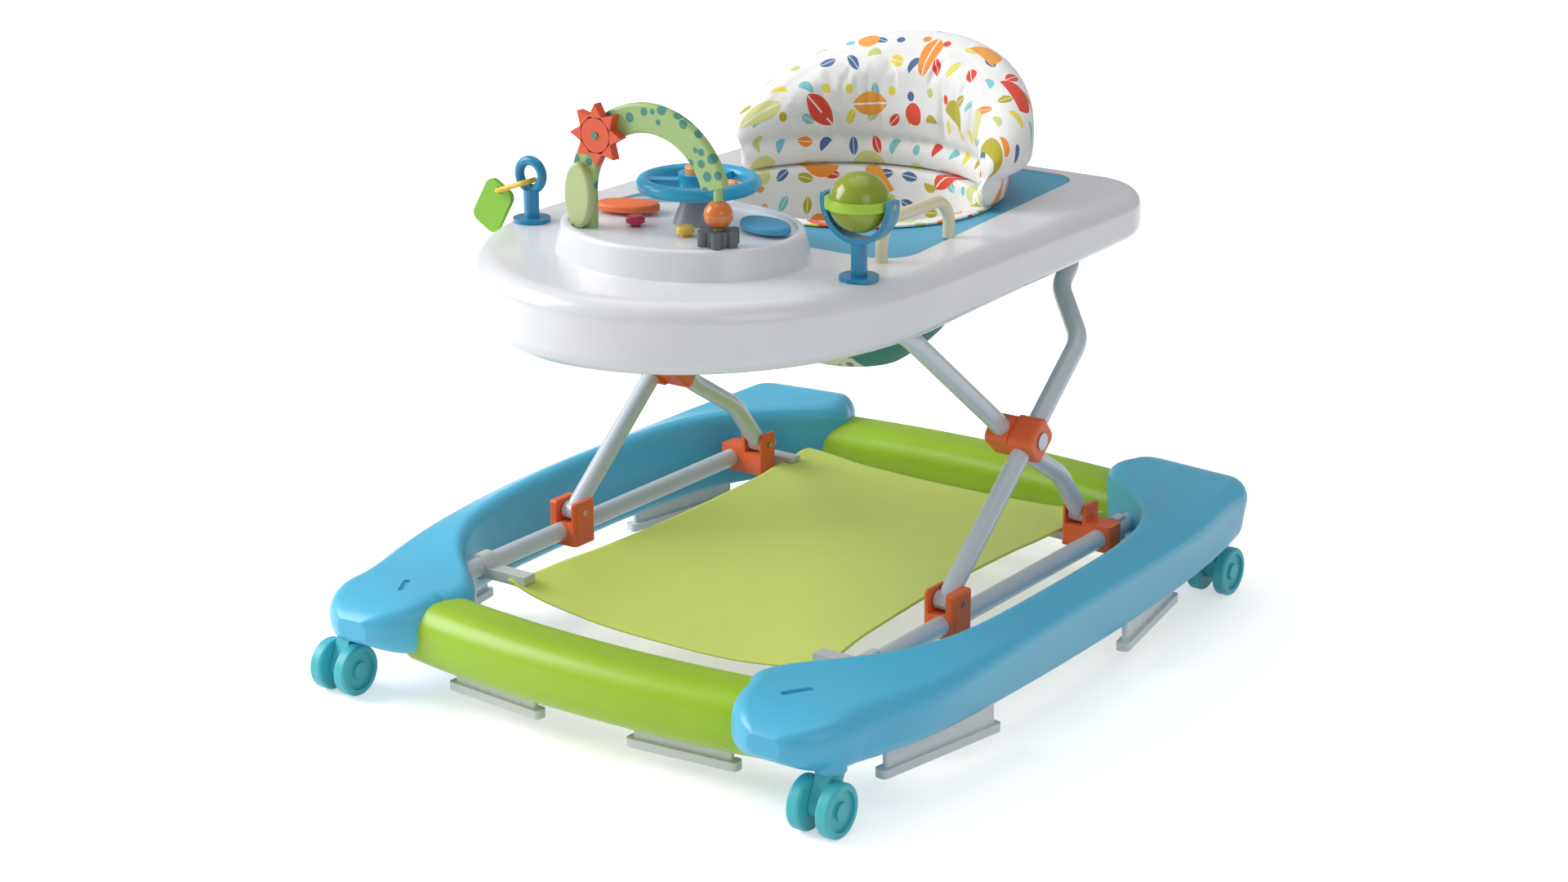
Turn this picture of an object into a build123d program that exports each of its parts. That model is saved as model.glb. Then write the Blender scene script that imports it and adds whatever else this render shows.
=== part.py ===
"""Baby walker and rocker: hung seat in an activity tray on a folding X-frame over a wheeled base.

Millimetres. +Z is up, the child faces -Y, and the origin is on the floor under the middle of the base.
"""

import os
from math import atan2, copysign, cos, degrees, hypot, radians, sin

from build123d import *

os.makedirs("parts", exist_ok=True)

# Fits
running_gap = 0.06
free_gap = 0.4
fold_gap = 0.6

# Casters
wheel_diameter = 48
wheel_width = 13
wheel_gap = 16
wheel_round = 3
axle_diameter = 8
axle_boss_diameter = 20
caster_trail = 12
caster_x = 265
caster_y = 333
stem_diameter = 11
stem_length = 30
collar_diameter = 22
collar_top = 52
collar_height = 3.2
socket_diameter = 28

# Runners
runner_end = 374
front_bulb_y = 312
rear_bulb_y = 334
bulb_inner = 163
bulb_lean = 10
bulb_round = 18
front_bulb_outer = 290
rear_bulb_outer = 302
front_bulb_bottom = 50
rear_bulb_bottom = 57
front_bulb_top = 106
rear_bulb_top = 127
waist_y = 20
waist_inner = 272
waist_outer = 318
waist_bottom = 38
waist_top = 126
waist_lean = 28
waist_round = 10
crease_share = 0.6
ridge_share = 0.3
nose_inset = 58
nose_drop = 24
slot_length = 30
slot_width = 7
slot_depth = 5
slot_turn = 60
round_limit = 0.4

# How far each side of a runner has gone from waist to bulb: along, inner, outer, bottom, top
runner_ease = (
    (0.25, 0.02, 0.03, 0.03, 0.10),
    (0.50, 0.12, 0.11, 0.18, 0.35),
    (0.75, 0.58, 0.40, 0.55, 0.75),
    (1.00, 1.00, 1.00, 1.00, 1.00),
)
# How far a nose is drawn in from its bulb: along, inset
nose_ease = ((0.00, 0.00), (0.40, 0.09), (0.75, 0.34), (1.00, 0.80))

# Cross rails
rail_depth = 66
rail_height = 60
rail_round = 24
rail_bow = 15
rail_seat = 26
front_rail_y = 309
front_rail_z = 69
rear_rail_y = 322
rear_rail_z = 76

# Side tubes and legs
tube_diameter = 18
tube_wall = 1.5
side_tube_x = 217
side_tube_z = 90
side_tube_end = 262
side_tube_rear = 27
eye_width = 16
eye_plug = 14
pin_diameter = 6
pivot_pin_diameter = 8
front_pivot_y = -74
rear_pivot_y = 202
cross_height = 223
outer_leg_x = 212
inner_leg_x = 190
jog_start = 0.736
jog_end = 0.876
top_tube_x = 165
inner_top_x = 176
jog_radius = 34
top_radius = 34
foot_bow = 12
foot_bow_at = 0.36
bow_radius = 70

# Connectors
slider_length = 31
slider_inner_wall = 5
slider_outer_wall = 4.5
slider_bottom_wall = 4
cheek_rise = 12
bracket_length = 24
bracket_wall = 4
pivot_block_length = 36
pivot_block_height = 31
pivot_block_wall = 5
pivot_block_round = 8
block_edge = 3
pin_head = 1.5

# Foot mat
mat_clip_length = 16
mat_clip_wall = 3.5
mat_front_y = -210
mat_rear_y = 275
mat_overhang = 39
mat_half_width = 178
mat_waist_half_width = 160
mat_sag = 24
mat_rear_sag = 9
mat_thickness = 3
mat_drop = 6

# Stopper pads
pad_length = 112
runner_pad_length = 150
pad_width = 13
pad_drop = 21
pad_foot = 8
pad_web = 6
pad_sink = 6
rail_pad_x = 104
runner_pad_y = 185
runner_pad_turn = 10

# Tray
tray_bottom = 374
tray_front_bottom = 354
tray_height = 44
tray_half_width = 217
tray_front_centre_y = -98
tray_front_reach = 252
tray_rear_y = 303
tray_corner = 66
tray_top_round = 18
tray_bottom_round = 14
rim_width = 20
tray_skin = 3.5
tray_pivot_drop = 10

# Deck panel and seat hole
deck_front_y = -100
deck_rear_y = 273
deck_front_half = 174
deck_rear_half = 139
deck_corner = 34
deck_lip = 7
deck_thickness = 6
deck_recess = 1.5
hole_y = 88
hole_half_width = 122
hole_half_length = 112

# Slide shoes, channels and saddles under the tray
shoe_x = 104
shoe_width = 20
shoe_wall = 3
shoe_neck = 12
shoe_head_width = 24
shoe_head_height = 6
shoe_length = 28
channel_wall = 4
channel_end = 8
saddle_x = 100
saddle_width = 28
saddle_wall = 6

# Fold of the X-frame, degrees
fold_angle = 23

# Seat
sling_wall = 4
sling_flange = 16
sling_flange_height = 3
sling_bottom = 264
sling_waist_z = 342
sling_waist_share = 0.92
sling_knee_z = 298
sling_knee_share = 0.74
sling_base_share = 0.42
sling_top_share = 0.97
leg_hole_width = 92
leg_hole_height = 102
leg_hole_x = 66
leg_hole_y = -18
leg_hole_z = 312
leg_hole_turn = 38
leg_hole_dip = 28
back_thickness = 48
back_wing_share = 0.7
back_top = 553
back_wing_top = 450
back_crest_power = 0.8
back_wing_angle = 5
back_seam_height = 22
back_seam_lap = 8
back_foot_thickness = 26
back_softness = 0.4

# Toy posts and handle on the tray
post_x = 178
post_y = -166
post_foot_diameter = 34
post_foot_height = 4
post_stem_diameter = 14
ball_diameter = 52
band_diameter = 59
band_height = 8
ball_height = 67
fork_wall = 5
fork_width = 15
ball_pin_diameter = 5
loop_height = 43
loop_diameter = 35
loop_wire = 9
link_length = 38
link_width = 22
link_wire = 5
link_bend_share = 0.7
link_tilt = 20
tag_length = 46
tag_width = 32
tag_thickness = 5
tag_tilt = 60
handle_x = 161
handle_rear_y = 2
handle_front_y = -106
handle_height = 36
handle_diameter = 11
handle_bend = 24

# Play tray
dish_y = -176
dish_half_width = 119
dish_half_length = 98
dish_height = 26
dish_taper = 6
dish_skin = 3
dish_recess = 4
dish_round = 4
column_y = -152
column_foot_diameter = 46
column_top_diameter = 26
column_height = 26
wheel_spigot_diameter = 10
wheel_spigot_height = 12
toy_wheel_diameter = 110
toy_wheel_rim = 13
toy_hub_diameter = 36
toy_hub_height = 18
spoke_width = 13
spoke_count = 3
horn_diameter = 24
horn_height = 7
horn_travel = 3
pad_press = 3
petal_length = 58
petal_width = 36
petal_height = 6
petal_lean = 20
orange_pad_x = -72
orange_pad_y = -160
blue_pad_x = 70
blue_pad_y = -150
button_diameter = 17
button_height = 6
red_button_x = -36
red_button_y = -196
yellow_button_x = 21
yellow_button_y = -200
press_stem_diameter = 9
press_stem_length = 9
arch_y = -221
arch_half_span = 72
arch_height = 100
arch_band_width = 26
arch_band_thickness = 9
arch_rod_diameter = 8
arch_band_start = 16
leaf_height = 58
leaf_width = 29
leaf_thickness = 14
star_diameter = 48
star_root_diameter = 30
star_points = 8
star_thickness = 9
star_angle = 132
star_pin_diameter = 6
bead_diameter = 25
gear_diameter = 38
gear_root_diameter = 28
gear_height = 13
gear_petals = 6

# Worked-out places
tube_radius = tube_diameter / 2
eye_radius = tube_radius - free_gap
pivot_z = side_tube_z + tube_diameter
half_span = (rear_pivot_y - front_pivot_y) / 2
cross_y = (rear_pivot_y + front_pivot_y) / 2
cross_rise = cross_height - pivot_z
leg_angle = degrees(atan2(cross_rise, half_span))
tray_pivot_z = tray_bottom - tray_pivot_drop
upper_share = (tray_pivot_z - cross_height) / cross_rise
tray_front_pivot_y = cross_y - half_span * upper_share
tray_rear_pivot_y = cross_y + half_span * upper_share
lower_length = hypot(half_span, cross_rise)
shoe_travel = 2 * upper_share * lower_length * (
    cos(radians(leg_angle - fold_angle)) - cos(radians(leg_angle))
)
tray_top = tray_bottom + tray_height
tray_ceiling = tray_top - tray_skin
deck_under = tray_ceiling - deck_thickness
deck_top = tray_top - deck_recess
dish_base = tray_top
dish_top = dish_base + dish_height
panel_top = dish_top - dish_recess


def save(builder, name):
    """Label a finished piece and write it under its own name."""
    builder.part.label = name
    export_step(builder.part, f"parts/{name}.step")


def bar(start, end, radius, mode=Mode.ADD):
    """A round bar between two points, added to the piece in hand."""
    along = Vector(*end) - Vector(*start)
    with BuildSketch(Plane(origin=start, z_dir=along)) as section:
        Circle(radius)
    extrude(section.sketch, amount=along.length, mode=mode)


def pin_along_x(y, z, x_from, x_to, radius, mode=Mode.ADD):
    """A round bar along X, for pins and for the holes that take them."""
    bar((x_from, y, z), (x_to, y, z), radius, mode)


def mirrored(points):
    """The same points on the other side of the middle plane, last one first."""
    return [(-x, y, z) for x, y, z in reversed(points)]


def between(start, end, share):
    """A value a share of the way from one to another."""
    return start + (end - start) * share


def runner_station(y, inner, outer, bottom, top, lean, rounding):
    """One cross-section of a runner, its outer face leaning in towards the floor."""
    with BuildSketch(Plane.XZ.offset(-y)) as section:
        Polygon(
            (inner, bottom),
            (outer - lean, bottom),
            (outer, top - lean * crease_share),
            (inner + lean * ridge_share, top),
            align=None,
        )
        fillet(section.vertices(), min(rounding, (top - bottom) * round_limit))
    return section.sketch


def bulb_stations(bulb_y, bulb_outer, bulb_bottom, bulb_top):
    """The cross-sections of half a runner, from beside its waist to its bulb."""
    sections = []
    for along, inner_ease, outer_ease, bottom_ease, top_ease in runner_ease:
        sections.append(
            runner_station(
                between(waist_y, bulb_y, along),
                between(waist_inner, bulb_inner, inner_ease),
                between(waist_outer, bulb_outer, outer_ease),
                between(waist_bottom, bulb_bottom, bottom_ease),
                between(waist_top, bulb_top, top_ease),
                between(waist_lean, bulb_lean, inner_ease),
                between(waist_round, bulb_round, inner_ease),
            )
        )
    return sections


def nose_stations(bulb_y, bulb_outer, bulb_bottom, bulb_top):
    """The cross-sections of a runner's nose, from its bulb to its tip."""
    sections = []
    for along, drawn_in in nose_ease:
        sections.append(
            runner_station(
                between(bulb_y, copysign(runner_end, bulb_y), along),
                bulb_inner + nose_inset * drawn_in,
                bulb_outer - nose_inset * drawn_in,
                bulb_bottom + nose_drop * drawn_in,
                bulb_top - nose_drop * drawn_in,
                bulb_lean * (1 - drawn_in),
                bulb_round,
            )
        )
    return sections


# Front and rear rails: a rounded bar bowed in plan, its ends seated in the runners
for end, y_sign, rail_y, rail_z in (
    ("front", -1, front_rail_y, front_rail_z),
    ("rear", 1, rear_rail_y, rear_rail_z),
):
    rail_end = bulb_inner + rail_seat
    with BuildPart() as rail:
        with BuildLine() as rail_path:
            ThreePointArc(
                (-rail_end, y_sign * rail_y, rail_z),
                (0, y_sign * (rail_y + rail_bow), rail_z),
                (rail_end, y_sign * rail_y, rail_z),
            )
        with BuildSketch(Plane(origin=rail_path.line @ 0, x_dir=(0, 0, 1), z_dir=rail_path.line % 0)):
            RectangleRounded(rail_height, rail_depth, rail_round)
        sweep(path=rail_path.line)
    save(rail, f"{end}_rail")
    if end == "front":
        front_rail = rail
    else:
        rear_rail = rail

# Runners: one closed moulding each, bulbous at the ends and bowed outwards between them
with BuildPart() as right_runner:
    front_bulb = (-front_bulb_y, front_bulb_outer, front_bulb_bottom, front_bulb_top)
    rear_bulb = (rear_bulb_y, rear_bulb_outer, rear_bulb_bottom, rear_bulb_top)
    waist = runner_station(
        waist_y, waist_inner, waist_outer, waist_bottom, waist_top, waist_lean, waist_round
    )
    loft([*reversed(bulb_stations(*rear_bulb)), waist, *bulb_stations(*front_bulb)])
    loft(nose_stations(*front_bulb))
    loft([*reversed(nose_stations(*rear_bulb))])
    for y_sign in (-1, 1):
        socket_under = collar_top + free_gap
        with BuildSketch(Plane.XY.offset(socket_under)):
            with Locations((caster_x, y_sign * caster_y)):
                Circle(socket_diameter / 2)
        extrude(amount=stem_length)
        with BuildSketch(Plane.XY.offset(socket_under)):
            with Locations((caster_x, y_sign * caster_y)):
                Circle(socket_diameter / 2)
        extrude(amount=-socket_under, mode=Mode.SUBTRACT)
        with BuildSketch(Plane.XY.offset(socket_under)):
            with Locations((caster_x, y_sign * caster_y)):
                Circle(stem_diameter / 2 + running_gap)
        extrude(amount=stem_length, mode=Mode.SUBTRACT)
    add(front_rail.part, mode=Mode.SUBTRACT)
    add(rear_rail.part, mode=Mode.SUBTRACT)
    bar(
        (side_tube_x, -side_tube_end, side_tube_z),
        (side_tube_x, side_tube_end + side_tube_rear, side_tube_z),
        tube_radius,
        Mode.SUBTRACT,
    )
    with BuildSketch(Plane.XY.offset(front_bulb_top)):
        with Locations(Location((side_tube_x, -front_bulb_y), slot_turn)):
            SlotOverall(slot_length, slot_width)
    extrude(amount=-slot_depth, mode=Mode.SUBTRACT)
save(right_runner, "right_runner")

with BuildPart() as left_runner:
    mirror(right_runner.part, about=Plane.YZ)
save(left_runner, "left_runner")

# Side tubes: plain steel tube, seated in both ends of its runner
for side, x_sign in (("left", -1), ("right", 1)):
    tube_from = (x_sign * side_tube_x, -side_tube_end, side_tube_z)
    tube_to = (x_sign * side_tube_x, side_tube_end + side_tube_rear, side_tube_z)
    with BuildPart() as side_tube:
        bar(tube_from, tube_to, tube_radius)
        bar(tube_from, tube_to, tube_radius - tube_wall, Mode.SUBTRACT)
    save(side_tube, f"{side}_side_tube")

# Casters: a swivelling fork between twin wheels that share one axle
for end, y_sign in (("front", -1), ("rear", 1)):
    for side, x_sign in (("left", -1), ("right", 1)):
        stem_x = x_sign * caster_x
        stem_y = y_sign * caster_y
        axle_y = y_sign * (caster_y + caster_trail)
        axle_z = wheel_diameter / 2
        fork_half = wheel_gap / 2 - free_gap
        with BuildPart() as fork:
            with BuildSketch(Plane.YZ.offset(stem_x)):
                with Locations((axle_y, axle_z)):
                    Circle(axle_boss_diameter / 2)
                with Locations((stem_y, collar_top - collar_height / 2)):
                    Rectangle(collar_diameter, collar_height)
                make_hull()
            extrude(amount=fork_half, both=True)
            with BuildSketch(Plane.XY.offset(collar_top - collar_height)):
                with Locations((stem_x, stem_y)):
                    Circle(collar_diameter / 2)
            extrude(amount=collar_height)
            with BuildSketch(Plane.XY.offset(collar_top - collar_height)):
                with Locations((stem_x, stem_y)):
                    Circle(stem_diameter / 2)
            extrude(amount=collar_height + stem_length)
            axle_hole = axle_diameter / 2 + running_gap
            pin_along_x(axle_y, axle_z, stem_x - wheel_gap, stem_x + wheel_gap, axle_hole, Mode.SUBTRACT)
        save(fork, f"{end}_{side}_caster_fork")

        with BuildPart() as wheels:
            for outward in (-1, 1):
                face_x = stem_x + outward * wheel_gap / 2
                with BuildSketch(Plane.YZ.offset(face_x)):
                    with Locations((axle_y, axle_z)):
                        Circle(wheel_diameter / 2)
                extrude(amount=outward * wheel_width)
            fillet(wheels.edges().filter_by(GeomType.CIRCLE), wheel_round)
            for outward in (-1, 1):
                rim_x = stem_x + outward * (wheel_gap / 2 + wheel_width)
                with BuildSketch(Plane.YZ.offset(rim_x)):
                    with Locations((axle_y, axle_z)):
                        Circle(wheel_diameter / 2 - 2 * wheel_round)
                        Circle(axle_diameter, mode=Mode.SUBTRACT)
                extrude(amount=-outward * wheel_round, mode=Mode.SUBTRACT)
            half_axle = wheel_gap / 2 + wheel_round
            pin_along_x(axle_y, axle_z, stem_x - half_axle, stem_x + half_axle, axle_diameter / 2)
        save(wheels, f"{end}_{side}_caster_wheels")

# Outer leg frame: front foot to rear top, jogging inwards above the pivot, one bent tube
foot_to_top = Vector(0, tray_rear_pivot_y - front_pivot_y, tray_pivot_z - pivot_z)


def outer_leg_point(x, share):
    """A point of the outer leg, a share of the way from its foot to its top."""
    return (x, front_pivot_y + foot_to_top.Y * share, pivot_z + foot_to_top.Z * share)


outer_half = [
    outer_leg_point(outer_leg_x, 0),
    outer_leg_point(outer_leg_x, jog_start),
    outer_leg_point(top_tube_x, jog_end),
    outer_leg_point(top_tube_x, 1),
]
outer_radii = [jog_radius, jog_radius, top_radius, top_radius, jog_radius, jog_radius]

# Inner leg frame: rear foot, slightly bowed, straight through the pivot to its front top
leg_run = Vector(0, cos(radians(leg_angle)), -sin(radians(leg_angle)))
bow_out = Vector(0, sin(radians(leg_angle)), cos(radians(leg_angle)))
cross_point = Vector(0, cross_y, cross_height)
pivot_end = cross_point + leg_run * pivot_block_length
pivot_start = cross_point - leg_run * pivot_block_length
bow_point = Vector(0, rear_pivot_y, pivot_z) - leg_run * (lower_length * foot_bow_at) + bow_out * foot_bow
inner_half = [
    (inner_leg_x, rear_pivot_y, pivot_z),
    (inner_leg_x, bow_point.Y, bow_point.Z),
    (inner_leg_x, pivot_end.Y, pivot_end.Z),
    (inner_leg_x, pivot_start.Y, pivot_start.Z),
    (inner_top_x, tray_front_pivot_y, tray_pivot_z),
]
inner_radii = [*[bow_radius] * 3, top_radius, top_radius, *[bow_radius] * 3]


def shortened(points):
    """The leg's points with the foot drawn up by the solid plug at its eye."""
    foot = Vector(*points[0])
    first = Vector(*points[1]) - foot
    drawn = foot + first.normalized() * eye_plug
    return [tuple(drawn), *points[1:]]


def leg_tube(points, radii, radius, mode):
    """A round section carried along a half frame and its mirror image."""
    with BuildLine() as leg_path:
        FilletPolyline(*points, *mirrored(points), radius=radii)
    with BuildSketch(Plane(origin=leg_path.line @ 0, z_dir=leg_path.line % 0)) as section:
        Circle(radius)
    sweep(section.sketch, path=leg_path.line, mode=mode)


def leg_frame(points, radii):
    """A bent tube with a solid pinned eye at each foot and a pivot hole at the crossing."""
    foot_x, foot_y, foot_z = points[0]
    leg_tube(points, radii, tube_radius, Mode.ADD)
    leg_tube(shortened(points), radii, tube_radius - tube_wall, Mode.SUBTRACT)
    for x_sign in (-1, 1):
        eye_from = x_sign * foot_x - eye_width / 2
        pin_along_x(foot_y, foot_z, eye_from, eye_from + eye_width, eye_radius)
        hole = pin_diameter / 2 + running_gap
        pin_along_x(foot_y, foot_z, eye_from - 1, eye_from + eye_width + 1, hole, Mode.SUBTRACT)
        hole = pivot_pin_diameter / 2 + running_gap
        cross_from = x_sign * foot_x - tube_diameter
        cross_to = x_sign * foot_x + tube_diameter
        pin_along_x(cross_y, cross_height, cross_from, cross_to, hole, Mode.SUBTRACT)


with BuildPart() as outer_leg_frame:
    leg_frame(outer_half, outer_radii)
save(outer_leg_frame, "outer_leg_frame")

with BuildPart() as inner_leg_frame:
    leg_frame(inner_half, inner_radii)
save(inner_leg_frame, "inner_leg_frame")

# Pivot blocks: an orange shell round each leg where the frame crosses, pinned face to face
block_split = (outer_leg_x + inner_leg_x) / 2


def block_body(x_sign, x_from, x_to, run):
    """A rounded block on one leg, square to the pivot pin."""
    face_plane = Plane(origin=(x_sign * x_from, cross_y, cross_height), x_dir=run, z_dir=(1, 0, 0))
    with BuildSketch(face_plane) as face:
        RectangleRounded(pivot_block_length, pivot_block_height, pivot_block_round)
    extrude(face.sketch, amount=x_sign * (x_to - x_from))


def block_bores(x_sign, leg_x, x_from, x_to, run):
    """The holes through a pivot block for its leg and for the pivot pin."""
    middle = Vector(x_sign * leg_x, cross_y, cross_height)
    bar(
        tuple(middle - run * pivot_block_length),
        tuple(middle + run * pivot_block_length),
        tube_radius,
        Mode.SUBTRACT,
    )
    hole = pivot_pin_diameter / 2 + running_gap
    pin_along_x(cross_y, cross_height, x_sign * x_from, x_sign * x_to, hole, Mode.SUBTRACT)


outer_face = outer_leg_x + tube_radius + pivot_block_wall
inner_face = inner_leg_x - tube_radius - pivot_block_wall
outer_run = Vector(0, cos(radians(leg_angle)), sin(radians(leg_angle)))
for side, x_sign in (("left", -1), ("right", 1)):
    outwards = Axis((0, 0, 0), (x_sign, 0, 0))
    with BuildPart() as outer_block:
        split_at = block_split + fold_gap / 2
        block_body(x_sign, split_at, outer_face, outer_run)
        fillet(outer_block.faces().sort_by(outwards)[-1].edges(), block_edge)
        block_bores(x_sign, outer_leg_x, split_at, outer_face, outer_run)
    save(outer_block, f"{side}_outer_pivot_block")
    with BuildPart() as inner_block:
        split_at = block_split - fold_gap / 2
        block_body(x_sign, inner_face, split_at, leg_run)
        fillet(inner_block.faces().sort_by(outwards)[0].edges(), block_edge)
        block_bores(x_sign, inner_leg_x, inner_face, split_at, leg_run)
    save(inner_block, f"{side}_inner_pivot_block")

with BuildPart() as leg_pivot_pins:
    for x_sign in (-1, 1):
        pin_radius = pivot_pin_diameter / 2
        pin_along_x(cross_y, cross_height, x_sign * inner_face, x_sign * outer_face, pin_radius)
        head_to = outer_face + pin_head
        pin_along_x(cross_y, cross_height, x_sign * outer_face, x_sign * head_to, pivot_pin_diameter)
save(leg_pivot_pins, "leg_pivot_pins")

# Front sliders: orange clevis blocks that run on the side tubes under the outer legs
slider_inner = outer_leg_x - tube_radius - free_gap - slider_inner_wall
slider_outer = side_tube_x + tube_radius + slider_outer_wall
cheek_top = pivot_z + cheek_rise


def clevis_body(x_sign, x_from, x_to, y, length, wall_below):
    """A round-cornered block that stands round the side tube."""
    block_from = side_tube_z - tube_radius - wall_below
    with BuildSketch(Plane.XY.offset(block_from)) as block_plan:
        with Locations((x_sign * (x_from + x_to) / 2, y)):
            RectangleRounded(x_to - x_from, length, slider_bottom_wall)
    extrude(block_plan.sketch, amount=cheek_top - block_from)


def clevis_cuts(x_sign, x_from, x_to, y, length, leg_x):
    """The tube's bore, the slot for a leg's foot and the hole for its pin."""
    tube_at = x_sign * side_tube_x
    bar(
        (tube_at, y - length, side_tube_z),
        (tube_at, y + length, side_tube_z),
        tube_radius + running_gap,
        Mode.SUBTRACT,
    )
    with BuildSketch(Plane.XY.offset(pivot_z - eye_radius - free_gap)) as slot_plan:
        with Locations((x_sign * leg_x, y)):
            Rectangle(tube_diameter + 2 * free_gap, 2 * length)
    extrude(slot_plan.sketch, amount=cheek_top, mode=Mode.SUBTRACT)
    hole = pin_diameter / 2 + running_gap
    pin_along_x(y, pivot_z, x_sign * (x_from - 1), x_sign * (x_to + 1), hole, Mode.SUBTRACT)


for side, x_sign in (("left", -1), ("right", 1)):
    with BuildPart() as slider:
        clevis_body(
            x_sign, slider_inner, slider_outer, front_pivot_y, slider_length, slider_bottom_wall
        )
        fillet(slider.faces().sort_by(Axis.Z)[-1].edges(), block_edge)
        clevis_cuts(x_sign, slider_inner, slider_outer, front_pivot_y, slider_length, outer_leg_x)
    save(slider, f"{side}_front_slider")

with BuildPart() as slider_pins:
    for x_sign in (-1, 1):
        pin_to = slider_outer + pin_head
        pin_along_x(front_pivot_y, pivot_z, x_sign * slider_inner, x_sign * pin_to, pin_diameter / 2)
save(slider_pins, "slider_pins")

# Rear brackets: orange clips fixed on the side tubes that hold the inner legs' feet
bracket_inner = inner_leg_x - tube_radius - free_gap - bracket_wall
bracket_outer = side_tube_x + tube_radius + bracket_wall
cheek_outer = inner_leg_x + tube_radius + free_gap + bracket_wall
for side, x_sign in (("left", -1), ("right", 1)):
    with BuildPart() as bracket:
        clevis_body(x_sign, bracket_inner, bracket_outer, rear_pivot_y, bracket_length, bracket_wall)
        fillet(bracket.faces().sort_by(Axis.Z)[-1].edges(), block_edge)
        clevis_cuts(x_sign, bracket_inner, bracket_outer, rear_pivot_y, bracket_length, inner_leg_x)
        with BuildSketch(Plane.XY.offset(side_tube_z + tube_radius + bracket_wall)):
            with Locations((x_sign * (cheek_outer + bracket_outer) / 2, rear_pivot_y)):
                Rectangle(bracket_outer - cheek_outer, 2 * bracket_length)
        extrude(amount=cheek_top, mode=Mode.SUBTRACT)
    save(bracket, f"{side}_rear_bracket")

with BuildPart() as bracket_pins:
    for x_sign in (-1, 1):
        pin_from = bracket_inner - pin_head
        pin_along_x(rear_pivot_y, pivot_z, x_sign * pin_from, x_sign * cheek_outer, pin_diameter / 2)
save(bracket_pins, "bracket_pins")

# Foot mat: a cloth panel hung by its corners from clips on the side tubes
mat_edge_z = side_tube_z - mat_drop


def mat_station(along):
    """A sagging strip across the mat, some way along from its front edge to its rear edge."""
    y = between(mat_front_y, mat_rear_y, along)
    half_width = between(mat_waist_half_width, mat_half_width, (2 * along - 1) ** 2)
    sag = between(mat_sag, mat_rear_sag, along)
    lift = mat_edge_z + mat_thickness
    with BuildSketch(Plane.XZ.offset(-y)) as section:
        with BuildLine():
            ThreePointArc((-half_width, mat_edge_z), (0, mat_edge_z - sag), (half_width, mat_edge_z))
            Line((half_width, mat_edge_z), (half_width, lift))
            ThreePointArc((half_width, lift), (0, lift - sag), (-half_width, lift))
            Line((-half_width, lift), (-half_width, mat_edge_z))
        make_face()
    return section.sketch


with BuildPart() as floor_mat:
    loft([mat_station(along) for along in (0, 0.25, 0.5, 0.75, 1)])
save(floor_mat, "floor_mat")

with BuildPart() as mat_clips:
    ring_radius = tube_radius + mat_clip_wall
    grip = mat_clip_length / 2
    for x_sign in (-1, 1):
        for clip_y in (mat_front_y + grip, mat_rear_y - mat_overhang - grip):
            clip_from = clip_y - mat_clip_length / 2
            clip_to = clip_y + mat_clip_length / 2
            tube_at = x_sign * side_tube_x
            jaw_in = mat_half_width - mat_clip_length
            with BuildSketch(Plane.XZ.offset(-clip_from)):
                with Locations((tube_at, side_tube_z)):
                    Circle(ring_radius)
                with Locations((x_sign * (jaw_in + side_tube_x) / 2, mat_edge_z + mat_thickness / 2)):
                    Rectangle(side_tube_x - jaw_in, mat_thickness + 2 * mat_clip_wall)
                with Locations((tube_at, side_tube_z)):
                    Circle(tube_radius, mode=Mode.SUBTRACT)
                with Locations((tube_at + x_sign * tube_radius, side_tube_z)):
                    Rectangle(tube_radius, 2 * ring_radius, mode=Mode.SUBTRACT)
            extrude(amount=-mat_clip_length)
    add(floor_mat.part, mode=Mode.SUBTRACT)
save(mat_clips, "mat_clips")

# Stopper pads: pale strips under the rails and runners that grip the floor at a step's edge
def stopper_pad(place, foot_z, height, length):
    """A strip with a broad foot on a thin web that goes up into the moulding above it."""
    with BuildSketch(Plane.XY.offset(foot_z)) as foot:
        with Locations(place):
            RectangleRounded(length, pad_width, pad_width / 3)
    extrude(foot.sketch, amount=pad_foot)
    with BuildSketch(Plane.XY.offset(foot_z)) as web:
        with Locations(place):
            RectangleRounded(length - pad_width, pad_web, pad_web / 3)
    extrude(web.sketch, amount=height)


with BuildPart() as rail_stopper_pads:
    for y_sign, rail_y, rail_z in ((-1, front_rail_y, front_rail_z), (1, rear_rail_y, rear_rail_z)):
        for x_sign in (-1, 1):
            bow_here = rail_bow * (1 - (rail_pad_x / (bulb_inner + rail_seat)) ** 2)
            slope = degrees(atan2(2 * rail_bow * rail_pad_x, (bulb_inner + rail_seat) ** 2))
            pad_at = Location((x_sign * rail_pad_x, y_sign * (rail_y + bow_here)), -x_sign * y_sign * slope)
            stopper_pad(pad_at, rail_z - rail_height / 2 - pad_drop, pad_drop + pad_sink, pad_length)
    add(front_rail.part, mode=Mode.SUBTRACT)
    add(rear_rail.part, mode=Mode.SUBTRACT)
save(rail_stopper_pads, "rail_stopper_pads")

with BuildPart() as runner_stopper_pads:
    pad_x = waist_outer - waist_lean - pad_width
    for x_sign in (-1, 1):
        for y_sign in (-1, 1):
            turned = 90 + x_sign * y_sign * runner_pad_turn
            pad_at = Location((x_sign * pad_x, y_sign * runner_pad_y), turned)
            stopper_pad(pad_at, waist_bottom - pad_drop, pad_drop + 2 * pad_sink, runner_pad_length)
    add(right_runner.part, mode=Mode.SUBTRACT)
    add(left_runner.part, mode=Mode.SUBTRACT)
save(runner_stopper_pads, "runner_stopper_pads")


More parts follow.
